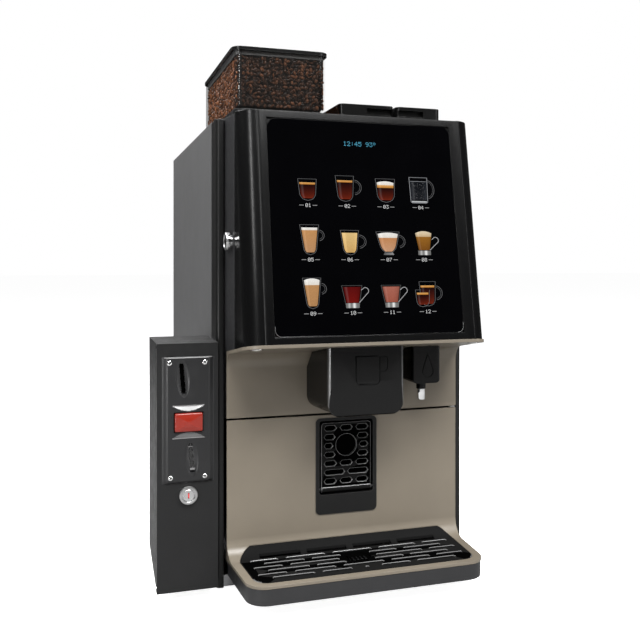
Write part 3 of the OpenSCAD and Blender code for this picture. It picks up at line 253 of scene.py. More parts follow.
# Colour, roughness and other settings of each finish, the record's material slots first
FINISHES = {
    "cabinet_paint": ((0.075, 0.075, 0.076), 0.5, dict(grain=0.8, depth=0.02, mottle=150, vary=0.05,
        rough_vary=0.02)),
    "column_black": (0.0045, 0.34, dict(specular=0.3, grain=1.0, depth=0.004, mottle=160, vary=0.05,
        rough_vary=0.01, edge=0)),
    "chassis_steel": ((0.55, 0.55, 0.56), 0.38, dict(metal=1, grain=0.5, depth=0.02, stretch=(1, 1, 12),
        vary=0.12, rough_vary=0.12)),
    "rubber_foot": (0.015, 0.75, dict(specular=0.3, grain=0.9, depth=0.06)),
    "hinge_steel": (0.5, 0.28, dict(metal=1, stretch=(1, 1, 10), vary=0.1)),
    "hopper_clear": ((0.05, 0.047, 0.044), 0.08, dict(CLEAR, specular=0.3, alpha=0.06)),
    "black_plastic": (0.0068, 0.36, dict(MOULDED, specular=0.2, grain=0.5, depth=0.008, vary=0.06)),
    "grille_black": (0.004, 0.78, dict(MOULDED, specular=0.1, grain=0.5, depth=0.008)),
    "satin_black": (0.0024, 0.24, dict(MOULDED, specular=0.24, grain=0.5, depth=0.006)),
    "dark_plastic": ((0.014, 0.014, 0.015), 0.42, dict(grain=0.5, depth=0.02)),
    "ivory_plastic": ((0.68, 0.64, 0.54), 0.4, dict(grain=0.6, depth=0.02, vary=0.05)),
    "canister_plastic": ((0.66, 0.66, 0.62), 0.3, dict(grain=0.8, depth=0.02, vary=0.05, alpha=0.8)),
    "motor_metal": ((0.30, 0.30, 0.31), 0.4, dict(metal=1, grain=0.4, depth=0.02)),
    "machined_steel": (0.6, 0.25, dict(metal=1, grain=0.3, depth=0.01)),
    "boiler_steel": (0.62, 0.3, dict(metal=1, stretch=(1, 1, 14), depth=0.02)),
    "brass_fitting": ((0.72, 0.50, 0.20), 0.25, dict(metal=1, grain=0.4, depth=0.01)),
    "red_plastic": ((0.19, 0.013, 0.006), 0.22, dict(MOULDED, specular=0.5, grain=0.6, depth=0.004,
        vary=0.04)),
    "board_green": ((0.015, 0.13, 0.05), 0.35, dict(grain=1.5, depth=0.05, mottle=6, vary=0.3)),
    "pipe_white": ((0.75, 0.75, 0.74), 0.35, dict(PLAIN, vary=0.04)),
    "fascia_black": ((0.0018, 0.0018, 0.0019), 0.24, dict(specular=0.2, grain=0.5, depth=0.005,
        mottle=160, vary=0.05, rough_vary=0.015, edge=0)),
    "touch_glass": ((0.0006, 0.0006, 0.0008), 0.04, dict(specular=0.04, grain=30, depth=0.002,
        rough_vary=0.015, edge=0.4)),
    "taupe_plastic": ((0.148, 0.127, 0.098), 0.36, dict(specular=0.4, grain=0.45, depth=0.012, mottle=60,
        vary=0.04, rough_vary=0.05)),
    "chrome_trim": (0.78, 0.1, dict(metal=1, grain=2, depth=0.005, vary=0.04, rough_vary=0.05)),
    "coin_paint": ((0.0068, 0.0068, 0.0070), 0.42, dict(specular=0.33, grain=0.7, depth=0.05, vary=0.1)),
    "clear_flap": (0.2, 0.1, dict(grain=4, depth=0.01, alpha=0.07, rough_vary=0.02, edge=0)),
    # Black painted shade for slots, recesses and hollows
    "slot_black": (0.001, 0.8, dict(specular=0.0, edge=0)),
    "lens_clear": ((0.75, 0.74, 0.70), 0.15, dict(specular=0.6, grain=1.5, depth=0.05, vary=0.04)),
    # Painted highlight on rounded edges
    "edge_highlight_black": (0.05, 0.22, dict(MOULDED, specular=1.0, grain=0.8, depth=0.004)),
    # Painted shade on the clear hopper's rounded upright corners
    "hopper_edge_shade": ((0.012, 0.0115, 0.011), 0.1, dict(CLEAR, specular=0.4, alpha=0.65)),
    # Painted highlights on the rounded lips of slots, grey and bright
    "edge_highlight_grey": (0.085, 0.25, LIP),
    "edge_highlight_bright": (0.15, 0.25, LIP),
    "smoky_black": ((0.02, 0.0195, 0.019), 0.4, dict(PLAIN, vary=0.05)),
    # Painted light: lighter grey for the hopper plug's left face and the touch glass's edge
    "smoky_grey": (0.10, 0.4, dict(PLAIN, vary=0.05)),
    "plate_grey": ((0.010, 0.010, 0.0105), 0.35, dict(specular=0.4, grain=0.6, depth=0.02)),
    # Painted highlights on the coin plate's crescents and top edge, and on the coin return's lip
    "bright_highlight": (0.36, 0.35, dict(PLAIN, vary=0.04)),
    "plate_satin": (0.13, 0.35, dict(PLAIN, vary=0.04)),
    "lock_steel": (0.5, 0.32, dict(metal=1, grain=0.5, depth=0.006, vary=0.05, rough_vary=0.03, edge=0)),
    "key_red": ((0.6, 0.02, 0.02), 0.4, dict(grain=0.5, vary=0.05)),
}


def make_materials():
    """Every finish by its name."""
    materials = {"screen": painted_screen(), "bean": bean_finish()}
    for name, (colour, rough, more) in FINISHES.items():
        materials[name] = surface(name, colour, rough, **more)
    return materials


# ---------------------------------------------------------------- mesh helpers


def add_piece(name, mesh, body, slot, finishes):
    piece = bpy.data.objects.new(name, mesh)
    bpy.context.scene.collection.objects.link(piece)
    for finish in finishes if isinstance(finishes, (list, tuple)) else [finishes]:
        mesh.materials.append(MATERIALS[finish])
    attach(piece, body)
    return piece


def soften(mesh, angle):
    """Shades a mesh smooth, but for edges sharper than angle degrees."""
    mesh.shade_smooth()
    mesh.set_sharp_from_angle(angle=math.radians(angle))


def add_tints(piece, tints):
    layer = piece.data.color_attributes.new("tint", "FLOAT_COLOR", "POINT")
    for point, tint in zip(layer.data, tints):
        point.color = tint


def mesh_piece(name, points, faces, body, slot, finishes, smooth=35, material_of=None):
    """A piece from points in the cabinet's frame and faces."""
    mesh = bpy.data.meshes.new(name)
    mesh.from_pydata([at(*p) for p in points], [], faces)
    mesh.validate()
    piece = add_piece(name, mesh, body, slot, finishes)
    if material_of:
        for polygon in mesh.polygons:
            polygon.material_index = material_of(polygon)
    soften(mesh, smooth)
    return piece


def quads(rows, wide, closed=True):
    """Faces between rows of points, each row an open line or a closed ring of the same length."""
    return [(j * wide + i, j * wide + (i + 1) % wide, (j + 1) * wide + (i + 1) % wide, (j + 1) * wide + i)
            for j in range(rows - 1) for i in range(wide if closed else wide - 1)]


def carve(bm, cutters):
    """Takes each closed (points, faces) solid out of a bmesh, in the cabinet's frame."""
    def stand(name, mesh):
        thing = bpy.data.objects.new(name, mesh)
        bpy.context.scene.collection.objects.link(thing)
        return thing

    mesh = bpy.data.meshes.new("carved")
    bm.to_mesh(mesh)
    holder = stand("carved", mesh)
    tools = []
    for points, faces in cutters:
        shape = bpy.data.meshes.new("cutter")
        shape.from_pydata([at(*p) for p in points], [], faces)
        tools.append(stand("cutter", shape))
        solid = bmesh.new()
        solid.from_mesh(shape)
        bmesh.ops.recalc_face_normals(solid, faces=solid.faces)
        solid.to_mesh(shape)
        solid.free()
        modifier = holder.modifiers.new("cut", "BOOLEAN")
        modifier.operation = "DIFFERENCE"
        modifier.solver = "EXACT"
        modifier.object = tools[-1]
    result = bpy.data.meshes.new_from_object(holder.evaluated_get(bpy.context.evaluated_depsgraph_get()))
    bm.clear()
    bm.from_mesh(result)
    for thing in [holder] + tools:
        bpy.data.objects.remove(thing)


# Edges sharper than this are rounded, and CAD points closer than this, in metres, are one
SHARP = math.radians(28)
CAD_WELD = 3e-6
# Material slots of a refined node: 0 is its plain finish, then that of its rounded edges, then black painted
# shade
LIPPED_FACE, PAINTED_SHADE_FACE = 1, 2


def round_edges(bm, width, segments, sharp, lip, clamp=True):
    edges = [e for e in bm.edges if len(e.link_faces) == 2 and e.calc_face_angle(0) > sharp]
    if width and edges:
        bmesh.ops.bevel(bm, geom=edges, offset=width * MM, offset_type="OFFSET", segments=segments,
                        profile=0.5, affect="EDGES", clamp_overlap=clamp,
                        material=LIPPED_FACE if lip else -1)


def refine(node, width, segments=2, finish=None, shape=(), grooves=(), lip=None, clamp=True, tone_of=None):
    """Stands a finer copy of a CAD node in its place, with its flats rejoined and its edges rounded.

    shape is cut out before the edges are rounded, grooves after it; lip is the finish of the rounded edges,
    mostly a painted highlight. tone_of(centre, normal, lipped) picks 0 for the plain finish, LIPPED_FACE or
    the face of black painted shade.
    """
    mesh = frame["nodes"][node].data.copy()
    mesh.materials.clear()
    bm = bmesh.new()
    bm.from_mesh(mesh)
    bmesh.ops.remove_doubles(bm, verts=bm.verts, dist=CAD_WELD)
    if shape:
        carve(bm, shape)
    bmesh.ops.dissolve_limit(bm, angle_limit=math.radians(0.3), verts=bm.verts, edges=bm.edges)
    round_edges(bm, width, segments, SHARP, lip, clamp)
    if grooves:
        carve(bm, grooves)
        bmesh.ops.dissolve_limit(bm, angle_limit=math.radians(0.1), verts=bm.verts, edges=bm.edges)
        round_edges(bm, 0.3, 1, math.radians(60), lip)
    if tone_of:
        origin = at(0, 0, 0)
        bm.normal_update()
        for face in bm.faces:
            centre = (face.calc_center_median() - origin) / MM
            face.material_index = tone_of(centre, face.normal, face.material_index == LIPPED_FACE)
    bm.to_mesh(mesh)
    bm.free()
    slot = SLOT_OF[node]
    # Plain finish, the finish of the rounded edges, and black painted shade for hollows
    piece = add_piece(node + ".fine", mesh, BODY_OF[node], slot, [finish or slot, lip or slot, "slot_black"])
    soften(mesh, 32)
    modifier = piece.modifiers.new("flat_faces", "WEIGHTED_NORMAL")
    modifier.keep_sharp = True
    modifier.weight = 80
    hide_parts(node)


def lathe(name, profile, centre, axis, body, slot, finishes, turns=64, smooth=35, finish_of=None):
    """Turns a profile of (radius, height) pairs about an axis through centre."""
    turn = Vector((0, 0, 1)).rotation_difference(Vector(axis))
    angles = [2 * math.pi * i / turns for i in range(turns)]
    points = [Vector(centre) + turn @ Vector((radius * math.cos(a), radius * math.sin(a), height))
              for radius, height in profile for a in angles]
    faces = quads(len(profile), turns)
    last = len(profile) - 1
    if profile[0][0] > 0:
        faces.append(tuple(reversed(range(turns))))
    if profile[last][0] > 0:
        faces.append(tuple(last * turns + i for i in range(turns)))
    material_of = (lambda p: finish_of(p.index // turns)) if finish_of else None
    return mesh_piece(name, points, faces, body, slot, finishes, smooth, material_of)


def tube(points, radius, sides):
    """Points and faces of a tube along a path of cabinet points that runs across the front."""
    verts = []
    path = [Vector(p) for p in points]
    for i, p in enumerate(path):
        along = (path[min(i + 1, len(path) - 1)] - path[max(i - 1, 0)]).normalized()
        across = along.cross(Vector((1, 0, 0)))
        across = across.normalized() if across.length > 1e-6 else along.orthogonal().normalized()
        up = along.cross(across).normalized()
        for k in range(sides):
            a = 2 * math.pi * k / sides
            verts.append(p + across * radius * math.cos(a) + up * radius * math.sin(a))
    faces = quads(len(path), sides)
    faces += [tuple(reversed(range(sides))), tuple((len(path) - 1) * sides + k for k in range(sides))]
    return verts, faces


def arc(cx, cy, rx, ry, start, stop, n=16):
    """Points of an elliptical arc from start to stop degrees."""
    return [(cx + rx * math.cos(math.radians(start + (stop - start) * i / n)),
             cy + ry * math.sin(math.radians(start + (stop - start) * i / n))) for i in range(n + 1)]


def rounded_loop(centre, half, r, n):
    """Outline of a rectangle with rounded corners, from its right side anticlockwise."""
    loop = []
    for across, up, start in ((1, 1, 0), (-1, 1, 90), (-1, -1, 180), (1, -1, 270)):
        corner = centre[0] + across * (half[0] - r), centre[1] + up * (half[1] - r)
        loop += arc(*corner, r, r, start, start + 90, n)
    return loop


def bar(path, width, y0, y1, closed=False):
    """A solid strip of some width along a path of (x, z) points, from y0 to y1."""
    path = [Vector(p) for p in path]
    n = len(path)
    sides = ([], [])
    for i, p in enumerate(path):
        before = (p - path[i - 1 if closed else max(i - 1, 0)]).normalized()
        after = (path[(i + 1) % n if closed else min(i + 1, n - 1)] - p).normalized()
        along = (before + after).normalized()
        stretch = 1 / max(0.5, along.dot(after if after.length else before))
        side = Vector((-along.y, along.x)) * width / 2 * stretch
        sides[0].append(p + side)
        sides[1].append(p - side)
    points = [Vector((q.x, y, q.y)) for y in (y0, y1) for half in sides for q in half]
    faces = []
    for i in range(n if closed else n - 1):
        k = (i + 1) % n
        faces += [(i, k, n + k, n + i), (2 * n + i, 3 * n + i, 3 * n + k, 2 * n + k),
                  (i, 2 * n + i, 2 * n + k, k), (n + i, n + k, 3 * n + k, 3 * n + i)]
    if not closed:
        faces += [(0, n, 3 * n, 2 * n), (n - 1, 3 * n - 1, 4 * n - 1, 2 * n - 1)]
    return points, faces


def corner_cutters(front, back, z0, radius):
    """Solids that round the lower corners of a nose; front and back are (y, low x, high x)."""
    cutters = []
    for side, column in ((-1, 1), (1, 2)):
        points = []
        for spot in (front, back):
            edge = spot[column]
            inner = edge - side * radius
            ring = arc(inner, z0 + radius, side * radius, radius, 0, -90, 14)
            ring += [(inner, z0 - 6), (edge + side * 8, z0 - 6), (edge + side * 8, z0 + radius)]
            points += [(x, spot[0], z) for x, z in ring]
        n = len(points) // 2
        faces = [(i, (i + 1) % n, n + (i + 1) % n, n + i) for i in range(n)]
        faces += [tuple(range(n)), tuple(range(2 * n - 1, n - 1, -1))]
        cutters.append((points, faces))
    return cutters


def block(name, low, high, body, slot, finish, round_by=0.6):
    """A box with rounded edges."""
    mesh = bpy.data.meshes.new(name)
    bm = bmesh.new()
    bmesh.ops.create_cube(bm, size=1)
    low, high = Vector(low), Vector(high)
    for v in bm.verts:
        v.co = at(*((low + high) / 2 + Vector(a * b for a, b in zip(v.co, high - low))))
    bmesh.ops.bevel(bm, geom=bm.edges[:], offset=round_by * MM, segments=3, profile=0.5, affect="EDGES",
                    clamp_overlap=True)
    bm.to_mesh(mesh)
    bm.free()
    add_piece(name, mesh, body, slot, finish)
    soften(mesh, 40)


# ---------------------------------------------------------------- hopper and beans


def smooth_step(t):
    t = min(1, max(0, t))
    return t * t * (3 - 2 * t)


# Half length, half width and half thickness of a bean, and the distance between beans
BEAN = (4.1, 2.8, 2.1)
BEAN_PITCH = 5.7
HEAP_PITCH = 6.4
BEAN_TOP = 767
BEAN_TINT = (0.125, 0.047, 0.020)
# Near-black painted shade of the block that fills the gaps in the heap
GAP_SHADE_TINT = (0.006, 0.003, 0.002, 1)
# Painted light and shade: beans behind the side walls are lifted paler as a painted reflection of the clear
# wall, the rest darkened as painted shade
FRONT_BEAN_SHADE = 0.34
SIDE_BEAN_SHEEN = 0.55
# Thickness of the hopper's walls, and how far they stand out past the base under them
WALL_T = 3
HOPPER_LAP = 1


def bean_shape():
    """One roasted bean: a seed with one side flattened and creased along its middle."""
    around, along = 8, 5
    points = []
    for j in range(along + 1):
        t = math.pi * j / along
        for i in range(around):
            a = 2 * math.pi * i / around
            y, z = math.sin(t) * math.cos(a), math.sin(t) * math.sin(a)
            if z < 0:
                z *= 0.45
                if abs(y) < 0.3:
                    z += 0.3 * math.sin(t)
            points.append(Vector((math.cos(t) * BEAN[0], y * BEAN[1], z * BEAN[2])))
    return points, quads(along + 1, around)


def bean_spots(rng):
    """Places of the beans that can be seen: against each wall, and heaped at the top."""
    low, high = span("hopper_base")
    inset = WALL_T + 1 + BEAN[2]
    x0, x1 = low.x - HOPPER_LAP + inset, high.x + HOPPER_LAP - inset
    y0, y1 = low.y - HOPPER_LAP + inset, high.y + HOPPER_LAP - inset
    z0, z1 = high.z + 4 + BEAN[2] + 0.5, BEAN_TOP - BEAN[1]

    def steps(a, b, pitch=BEAN_PITCH):
        n = max(1, round((b - a) / pitch))
        return [a + (b - a) * i / n for i in range(n + 1)]

    spots = []
    for z in steps(z0, z1):
        for x in steps(x0 + 3, x1 - 3):
            spots += [(x, y0, z, 1), (x, y1, z, 1)]
        for y in steps(y0 + 3, y1 - 3):
            spots += [(x0, y, z, 0), (x1, y, z, 0)]
    for x in steps(x0 + 4, x1 - 4, HEAP_PITCH):
        for y in steps(y0 + 4, y1 - 4, HEAP_PITCH):
            spots.append((x, y, z1 + rng.uniform(-0.5, 2.5), 2))
    return spots, (x0, x1, y0, y1, z0, z1)


def outward_of(flat_axis, x, y, middle_x, middle_y):
    """The way out of the hopper from a bean against a wall, or up from one on top."""
    if flat_axis == 2:
        return Vector((0, 0, 1))
    if flat_axis == 1:
        return Vector((0, 1 if y > middle_y else -1, 0))
    return Vector((1 if x > middle_x else -1, 0, 0))


def make_beans():
    """The beans that show, in one mesh: painted shade in their creases, gaps and front rows, painted light
    on their tops and side rows.
    """
    rng = random.Random(11)
    shape, shape_faces = bean_shape()
    spots, (x0, x1, y0, y1, z0, z1) = bean_spots(rng)
    points, faces, tints = [], [], []
    for x, y, z, flat_axis in spots:
        jitter = Vector(rng.uniform(-1.7, 1.7) for _ in range(3))
        jitter[flat_axis] *= 0.25
        turn = Matrix.Rotation(rng.uniform(0, 2 * math.pi), 3, "Z")
        turn = turn @ Matrix.Rotation(rng.choice((0, math.pi)) + rng.gauss(0, 0.45), 3, "X")
        if flat_axis == 1:
            turn = Matrix.Rotation(math.pi / 2, 3, "X") @ turn
        elif flat_axis == 0:
            turn = Matrix.Rotation(math.pi / 2, 3, "Y") @ turn
        size = rng.uniform(0.8, 1.05)
        centre = Vector((x, y, z)) + jitter
        tone = rng.choice((0.25, 0.45, 0.8, 1.3)) * rng.uniform(0.85, 1.15)
        outward = outward_of(flat_axis, x, y, (x0 + x1) / 2, (y0 + y1) / 2)
        # Painted light on the side rows, painted shade on the front, back and top rows
        tone = SIDE_BEAN_SHEEN + tone if flat_axis == 0 else tone * FRONT_BEAN_SHADE
        base = len(points)
        for p in shape:
            place = turn @ (p * size)
            points.append(centre + place)
            # Painted shade in the crease and where the bean turns into the gaps, painted light on its upper
            # half
            crease_shade = 0.15 if abs(p.y) < 0.9 and p.z <= 0.3 else 1.0
            proud = 0.1 + 0.9 * smooth_step(0.5 + place.dot(outward) / BEAN[2] * 0.5) ** 1.5
            depth = tone * crease_shade * proud * (1 + 0.25 * place.z / BEAN[0])
            tints.append((*(c * depth for c in BEAN_TINT), 1))
        faces += [tuple(base + i for i in f) for f in shape_faces]
    # Dark block inside the heap: painted shade that fills the gaps between beans
    inset = 2.5
    core = [(x, y, z) for z in (z0 - 1, z1 - 3) for y in (y0 + inset, y1 - inset)
            for x in (x0 + inset, x1 - inset)]
    base = len(points)
    points += [Vector(p) for p in core]
    tints += [GAP_SHADE_TINT] * 8
    faces += [tuple(base + i for i in f) for f in
              ((0, 2, 3, 1), (4, 5, 7, 6), (0, 1, 5, 4), (2, 6, 7, 3), (0, 4, 6, 2), (1, 3, 7, 5))]
    add_tints(mesh_piece("coffee_beans", points, faces, "cabinet", "hopper_clear", "bean", smooth=60), tints)


# ---------------------------------------------------------------- lit pictures on the glass

# Lean of the door's front, the foot of that front, and how far the glass stands behind it
TILT = math.radians(9.4)
FOOT_Y, FOOT_Z = -123.5, 359.4
GLASS_DEPTH = 3.0


def on_glass(u, v, lift=0.0):
    """A point u across and v up the leaning front, lift millimetres proud of the glass."""
    back = GLASS_DEPTH - lift
    return (u, FOOT_Y + back * math.cos(TILT) + v * math.sin(TILT),
            FOOT_Z - back * math.sin(TILT) + v * math.cos(TILT))


class Picture:
    """Flat shaded patches laid on the glass, each a little prouder than the last."""

    def __init__(self):
        self.points, self.faces, self.tints = [], [], []
        self.lift = 0.06

    def patch(self, rows, colour):
        """rows is a list of rows of (u, v) points; colour is a function of two shares from 0 to 1."""
        self.lift = 0.06 + (self.lift - 0.05) % 0.5
        base, wide = len(self.points), len(rows[0])
        for j, row in enumerate(rows):
            for i, (u, v) in enumerate(row):
                self.points.append(on_glass(u, v, self.lift))
                self.tints.append((*colour(i / (wide - 1), j / (len(rows) - 1)), 1))
        self.faces += [tuple(base + k for k in face) for face in quads(len(rows), wide, closed=False)]

    def stroke(self, path, width, colour):
        left, right = [], []
        for i, p in enumerate(path):
            a, b = Vector(path[max(i - 1, 0)]), Vector(path[min(i + 1, len(path) - 1)])
            side = Vector((-(b - a).y, (b - a).x)).normalized() * width / 2
            left.append(tuple(Vector(p) + side))
            right.append(tuple(Vector(p) - side))
        self.patch([right, left], lambda s, t: colour)

    def rectangle(self, u0, v0, u1, v1, colour):
        self.patch([[(u0, v0), (u1, v0)], [(u0, v1), (u1, v1)]], lambda s, t: colour)


def cup_half(y, height, top, bottom, round_r):
    """Half width of a cup at height y, with a rounded foot."""
    half = bottom + (top - bottom) * y / height
    if y < round_r:
        half -= round_r - math.sqrt(max(0, round_r ** 2 - (round_r - y) ** 2))
    return max(half, 0.4)


def mixed(a, b, t):
    return tuple(p + (q - p) * t for p, q in zip(a, b))


def fill(picture, u, v, cup, y0, y1, low, high, dome=0.0, side=0.75, power=1.0):
    """Drink between heights y0 and y1, shaded darker to the sides, with its top edge domed."""
    height, top, bottom, round_r = cup
    rows = []
    n = 10
    for j in range(n + 1):
        y = y0 + (y1 - y0) * j / n
        half = cup_half(y, height, top, bottom, round_r) - 1.5
        rows.append([(u + half * s / 8, v + y + dome * (1 - (s / 8) ** 2) * j / n) for s in range(-8, 9)])

    def colour(s, t):
        base = mixed(low, high, t ** power)
        edge = abs(2 * s - 1) ** 3
        shine = 0.35 * math.exp(-((s - 0.16) / 0.05) ** 2)
        return tuple(min(1, c * (1 - (1 - side) * edge) + shine * (0.12 + c * 0.5)) for c in base)

    picture.patch(rows, colour)


GLASS_LINE = (0.16, 0.16, 0.165)
CREMA = ((0.50, 0.19, 0.03), (0.78, 0.42, 0.13))
DARK_DRINK = ((0.17, 0.020, 0.008), (0.012, 0.004, 0.004))
FOAM = ((0.80, 0.74, 0.66), (0.92, 0.90, 0.86))


def outline(picture, u, v, cup, line=GLASS_LINE, width=0.55):
    height, top, bottom, round_r = cup
    ys = [height * j / 24 for j in range(25)]
    right = [(u + cup_half(y, *cup), v + y) for y in ys]
    left = [(u - cup_half(y, *cup), v + y) for y in reversed(ys)]
    picture.stroke(left + right, width, line)
    picture.stroke([left[0], right[-1]], width * 0.9, tuple(c * 0.8 for c in line))


def ring_handle(picture, u, v, rx, ry):
    picture.stroke(arc(u, v, rx, ry, -80, 80), 0.6, GLASS_LINE)
    picture.stroke(arc(u, v, rx - 2.2, ry - 2.2, -80, 80), 0.45, tuple(c * 0.8 for c in GLASS_LINE))


def wire_handle(picture, u, v, reach, height):
    """A bent rod from the rim down to the foot of a glass."""
    loop = arc(u + reach - 4.5, v + height - 5, 4.5, 4.5, 140, -30, 12)
    picture.stroke([(u - 0.8, v + height - 4)] + loop + [(u - 4.5, v + 7)], 0.9, (0.42, 0.42, 0.43))


def chrome_foot(picture, u, v, half, height):
    """Steel foot of a glass, with two upright glints."""
    def colour(s, t):
        band = 0.18 + 0.75 * math.exp(-((s - 0.62) / 0.1) ** 2) + 0.35 * math.exp(-((s - 0.25) / 0.08) ** 2)
        return (band, band, band * 0.98)

    rows = [[(u + half * (s / 8 - 1), v + y) for s in range(17)] for y in (0, height * 0.5, height)]
    picture.patch(rows, colour)


def draw_drinks(picture):
    # Middle of each column of drinks, and the foot of the cups in each row
    columns = (-83.0, -27.0, 30.0, 83.0)
    feet = (194.0, 119.3, 46.7)

    def dark_cup(u, v, cup, level, handle=None):
        fill(picture, u, v, cup, 3.0, level - 2.8, *DARK_DRINK, side=1.3, power=0.5)
        fill(picture, u, v, cup, level - 2.8, level, *CREMA, side=0.9)
        outline(picture, u, v, cup)
        if handle:
            ring_handle(picture, u + handle[0], v + handle[1], handle[2], handle[3])

    def milk_cup(u, v, cup, level, low, high, foam, handle, dome=0.0, edge=0.9):
        fill(picture, u, v, cup, 3.2, level, low, high, side=edge)
        if foam:
            fill(picture, u, v, cup, level, level + foam, *FOAM, dome=dome, side=0.9)
        outline(picture, u, v, cup)
        ring_handle(picture, u + handle[0], v + handle[1], handle[2], handle[3])

    dark_cup(columns[0], feet[0], (30, 13.2, 10.5, 10), 25)
    dark_cup(columns[1] - 2, feet[0], (36, 13.4, 10.2, 9), 29.5, (12.5, 20, 11.5, 10.5))
    macchiato = (33.5, 14.6, 12.0, 11)
    fill(picture, columns[2] + 1, feet[0], macchiato, 3, 20.5, *DARK_DRINK, side=1.3, power=0.5)
    fill(picture, columns[2] + 1, feet[0], macchiato, 20.5, 24.5, *CREMA, side=0.9)
    fill(picture, columns[2] + 1, feet[0], macchiato, 24.5, 28, *FOAM, dome=2.0, side=0.85)
    outline(picture, columns[2] + 1, feet[0], macchiato)
    water = (37, 13.8, 12.8, 2)
    wu = columns[3] - 1.5
    fill(picture, wu, feet[0], water, 4.5, 31, (0.014, 0.015, 0.018), (0.006, 0.007, 0.009), side=2.6)
    outline(picture, wu, feet[0], water, line=(0.34, 0.35, 0.37), width=0.7)
    picture.rectangle(wu - 11.5, feet[0] + 0.8, wu + 11.5, feet[0] + 2.8, (0.52, 0.53, 0.55))
    picture.rectangle(wu - 12.0, feet[0] + 31, wu + 12.0, feet[0] + 31.6, (0.30, 0.31, 0.33))
    rng = random.Random(3)
    for _ in range(80):
        a, b = wu + rng.uniform(-9.5, 9.5), feet[0] + rng.uniform(6, 29)
        size, tone = rng.uniform(0.25, 0.6), rng.uniform(0.10, 0.32)
        picture.rectangle(a, b, a + size, b + size, (tone, tone, tone * 1.05))
    ring_handle(picture, wu + 12.5, feet[0] + 20, 11.5, 13.5)

    milk_cup(columns[1] + 1, feet[1], (34, 13.2, 9.0, 9), 30.5, (0.62, 0.38, 0.13), (0.74, 0.52, 0.22), 0,
             (12.0, 18.5, 11.5, 9.5), edge=1.25)
    milk_cup(columns[0], feet[1], (41, 13.4, 8.0, 8), 33.5, (0.50, 0.27, 0.13), (0.58, 0.29, 0.11), 3.6,
             (12.5, 26.5, 8.0, 7.4))
    cappuccino = (31, 17.4, 9.5, 12)
    picture.patch([[(columns[2] - 8, feet[1]), (columns[2] + 8, feet[1])],
                   [(columns[2] - 6, feet[1] + 3.4), (columns[2] + 6, feet[1] + 3.4)]],
                  lambda s, t: (0.10 + 0.2 * s, 0.10 + 0.2 * s, 0.10 + 0.2 * s))
    milk_cup(columns[2], feet[1] + 1.5, cappuccino, 22.5, (0.60, 0.33, 0.19), (0.56, 0.25, 0.10), 5.4,
             (15.5, 17.5, 10.0, 9.0), dome=2.0)
    mocha = (33, 14.2, 8.6, 1)
    fill(picture, columns[3] + 1, feet[1], mocha, 7, 26, (0.20, 0.075, 0.012), (0.33, 0.14, 0.02))
    fill(picture, columns[3] + 1, feet[1], mocha, 26, 31, (0.62, 0.44, 0.24), (0.80, 0.68, 0.48), dome=3.0)
    chrome_foot(picture, columns[3] + 1, feet[1], 9.6, 6.2)
    wire_handle(picture, columns[3] + 14, feet[1], 9.5, 26)

    milk_cup(columns[0], feet[2], (41, 12.8, 7.4, 7), 31.5, (0.46, 0.24, 0.10), (0.52, 0.27, 0.11), 6.5,
             (12.0, 26.5, 8.0, 7.4), dome=2.4)
    for u, low, high in ((columns[1], (0.17, 0.008, 0.006), (0.11, 0.006, 0.006)),
                         (columns[2], (0.36, 0.10, 0.065), (0.42, 0.14, 0.10))):
        glass = (30.4, 14.6, 9.0, 1)
        fill(picture, u, feet[2], glass, 7, 28.5, low, high, side=0.6)
        outline(picture, u, feet[2], glass, line=(0.12, 0.12, 0.12))
        chrome_foot(picture, u, feet[2], 9.6, 6.4)
        wire_handle(picture, u + 14, feet[2], 9.8, 28)
    dark_cup(columns[3] + 1.5, feet[2] + 1, (34, 12.4, 10.0, 9), 28.5, (11.5, 18, 10.5, 10))
    dark_cup(columns[3] - 6.5, feet[2], (23.5, 10.6, 8.8, 8), 19.5)

    for row, v in enumerate(feet):
        for column, u in enumerate(columns):
            draw_number(picture, u, v - 8.6, row * 4 + column + 1)


# Dot characters, five dots wide and seven high, each row as five bits
DOTS = {
    "0": (14, 17, 19, 21, 25, 17, 14), "1": (4, 12, 4, 4, 4, 4, 14), "2": (14, 17, 1, 2, 4, 8, 31),
    "3": (31, 2, 4, 2, 1, 17, 14), "4": (2, 6, 10, 18, 31, 2, 2), "5": (31, 16, 30, 1, 1, 17, 14),
    "6": (6, 8, 16, 30, 17, 17, 14), "7": (31, 1, 2, 4, 8, 8, 8), "8": (14, 17, 17, 14, 17, 17, 14),
    "9": (14, 17, 17, 15, 1, 2, 12), ":": (0, 4, 4, 0, 4, 4, 0), "^": (12, 18, 18, 12, 0, 0, 0),
    " ": (0,) * 7,
}


def draw_dots(picture, u, v, words, pitch, colour, gap=0.12):
    """Writes generic figures in dots, centred at u with their foot at v."""
    wide = len(words) * 6 - 1
    for index, letter in enumerate(words):
        for row, bits in enumerate(DOTS[letter]):
            for bit in range(5):
                if bits >> (4 - bit) & 1:
                    a = u + (index * 6 + bit - wide / 2) * pitch
                    b = v + (6 - row) * pitch
                    picture.rectangle(a, b, a + pitch * (1 - gap), b + pitch * (1 - gap), colour)


def draw_number(picture, u, v, number):
    white = (0.66, 0.66, 0.66)
    draw_dots(picture, u, v - 0.6, f"{number:02d}", 0.72, white, gap=0)
    for side in (-1, 1):
        picture.rectangle(u + side * 9.5 - 3.2, v + 1.5, u + side * 9.5 + 3.2, v + 2.2, shade(white, 0.6))


def make_screen():
    picture = Picture()
    draw_drinks(picture)
    draw_dots(picture, -3.5, 273.2, "12:45 93^", 0.92, (0.10, 0.42, 0.60))
    piece = mesh_piece("screen_pictures", picture.points, picture.faces, "front_door", "touch_glass",
                       "screen")
    add_tints(piece, picture.tints)


# ---------------------------------------------------------------- coin unit

COIN_X = -235.0
COIN_FACE = span("coin_door")[0].y
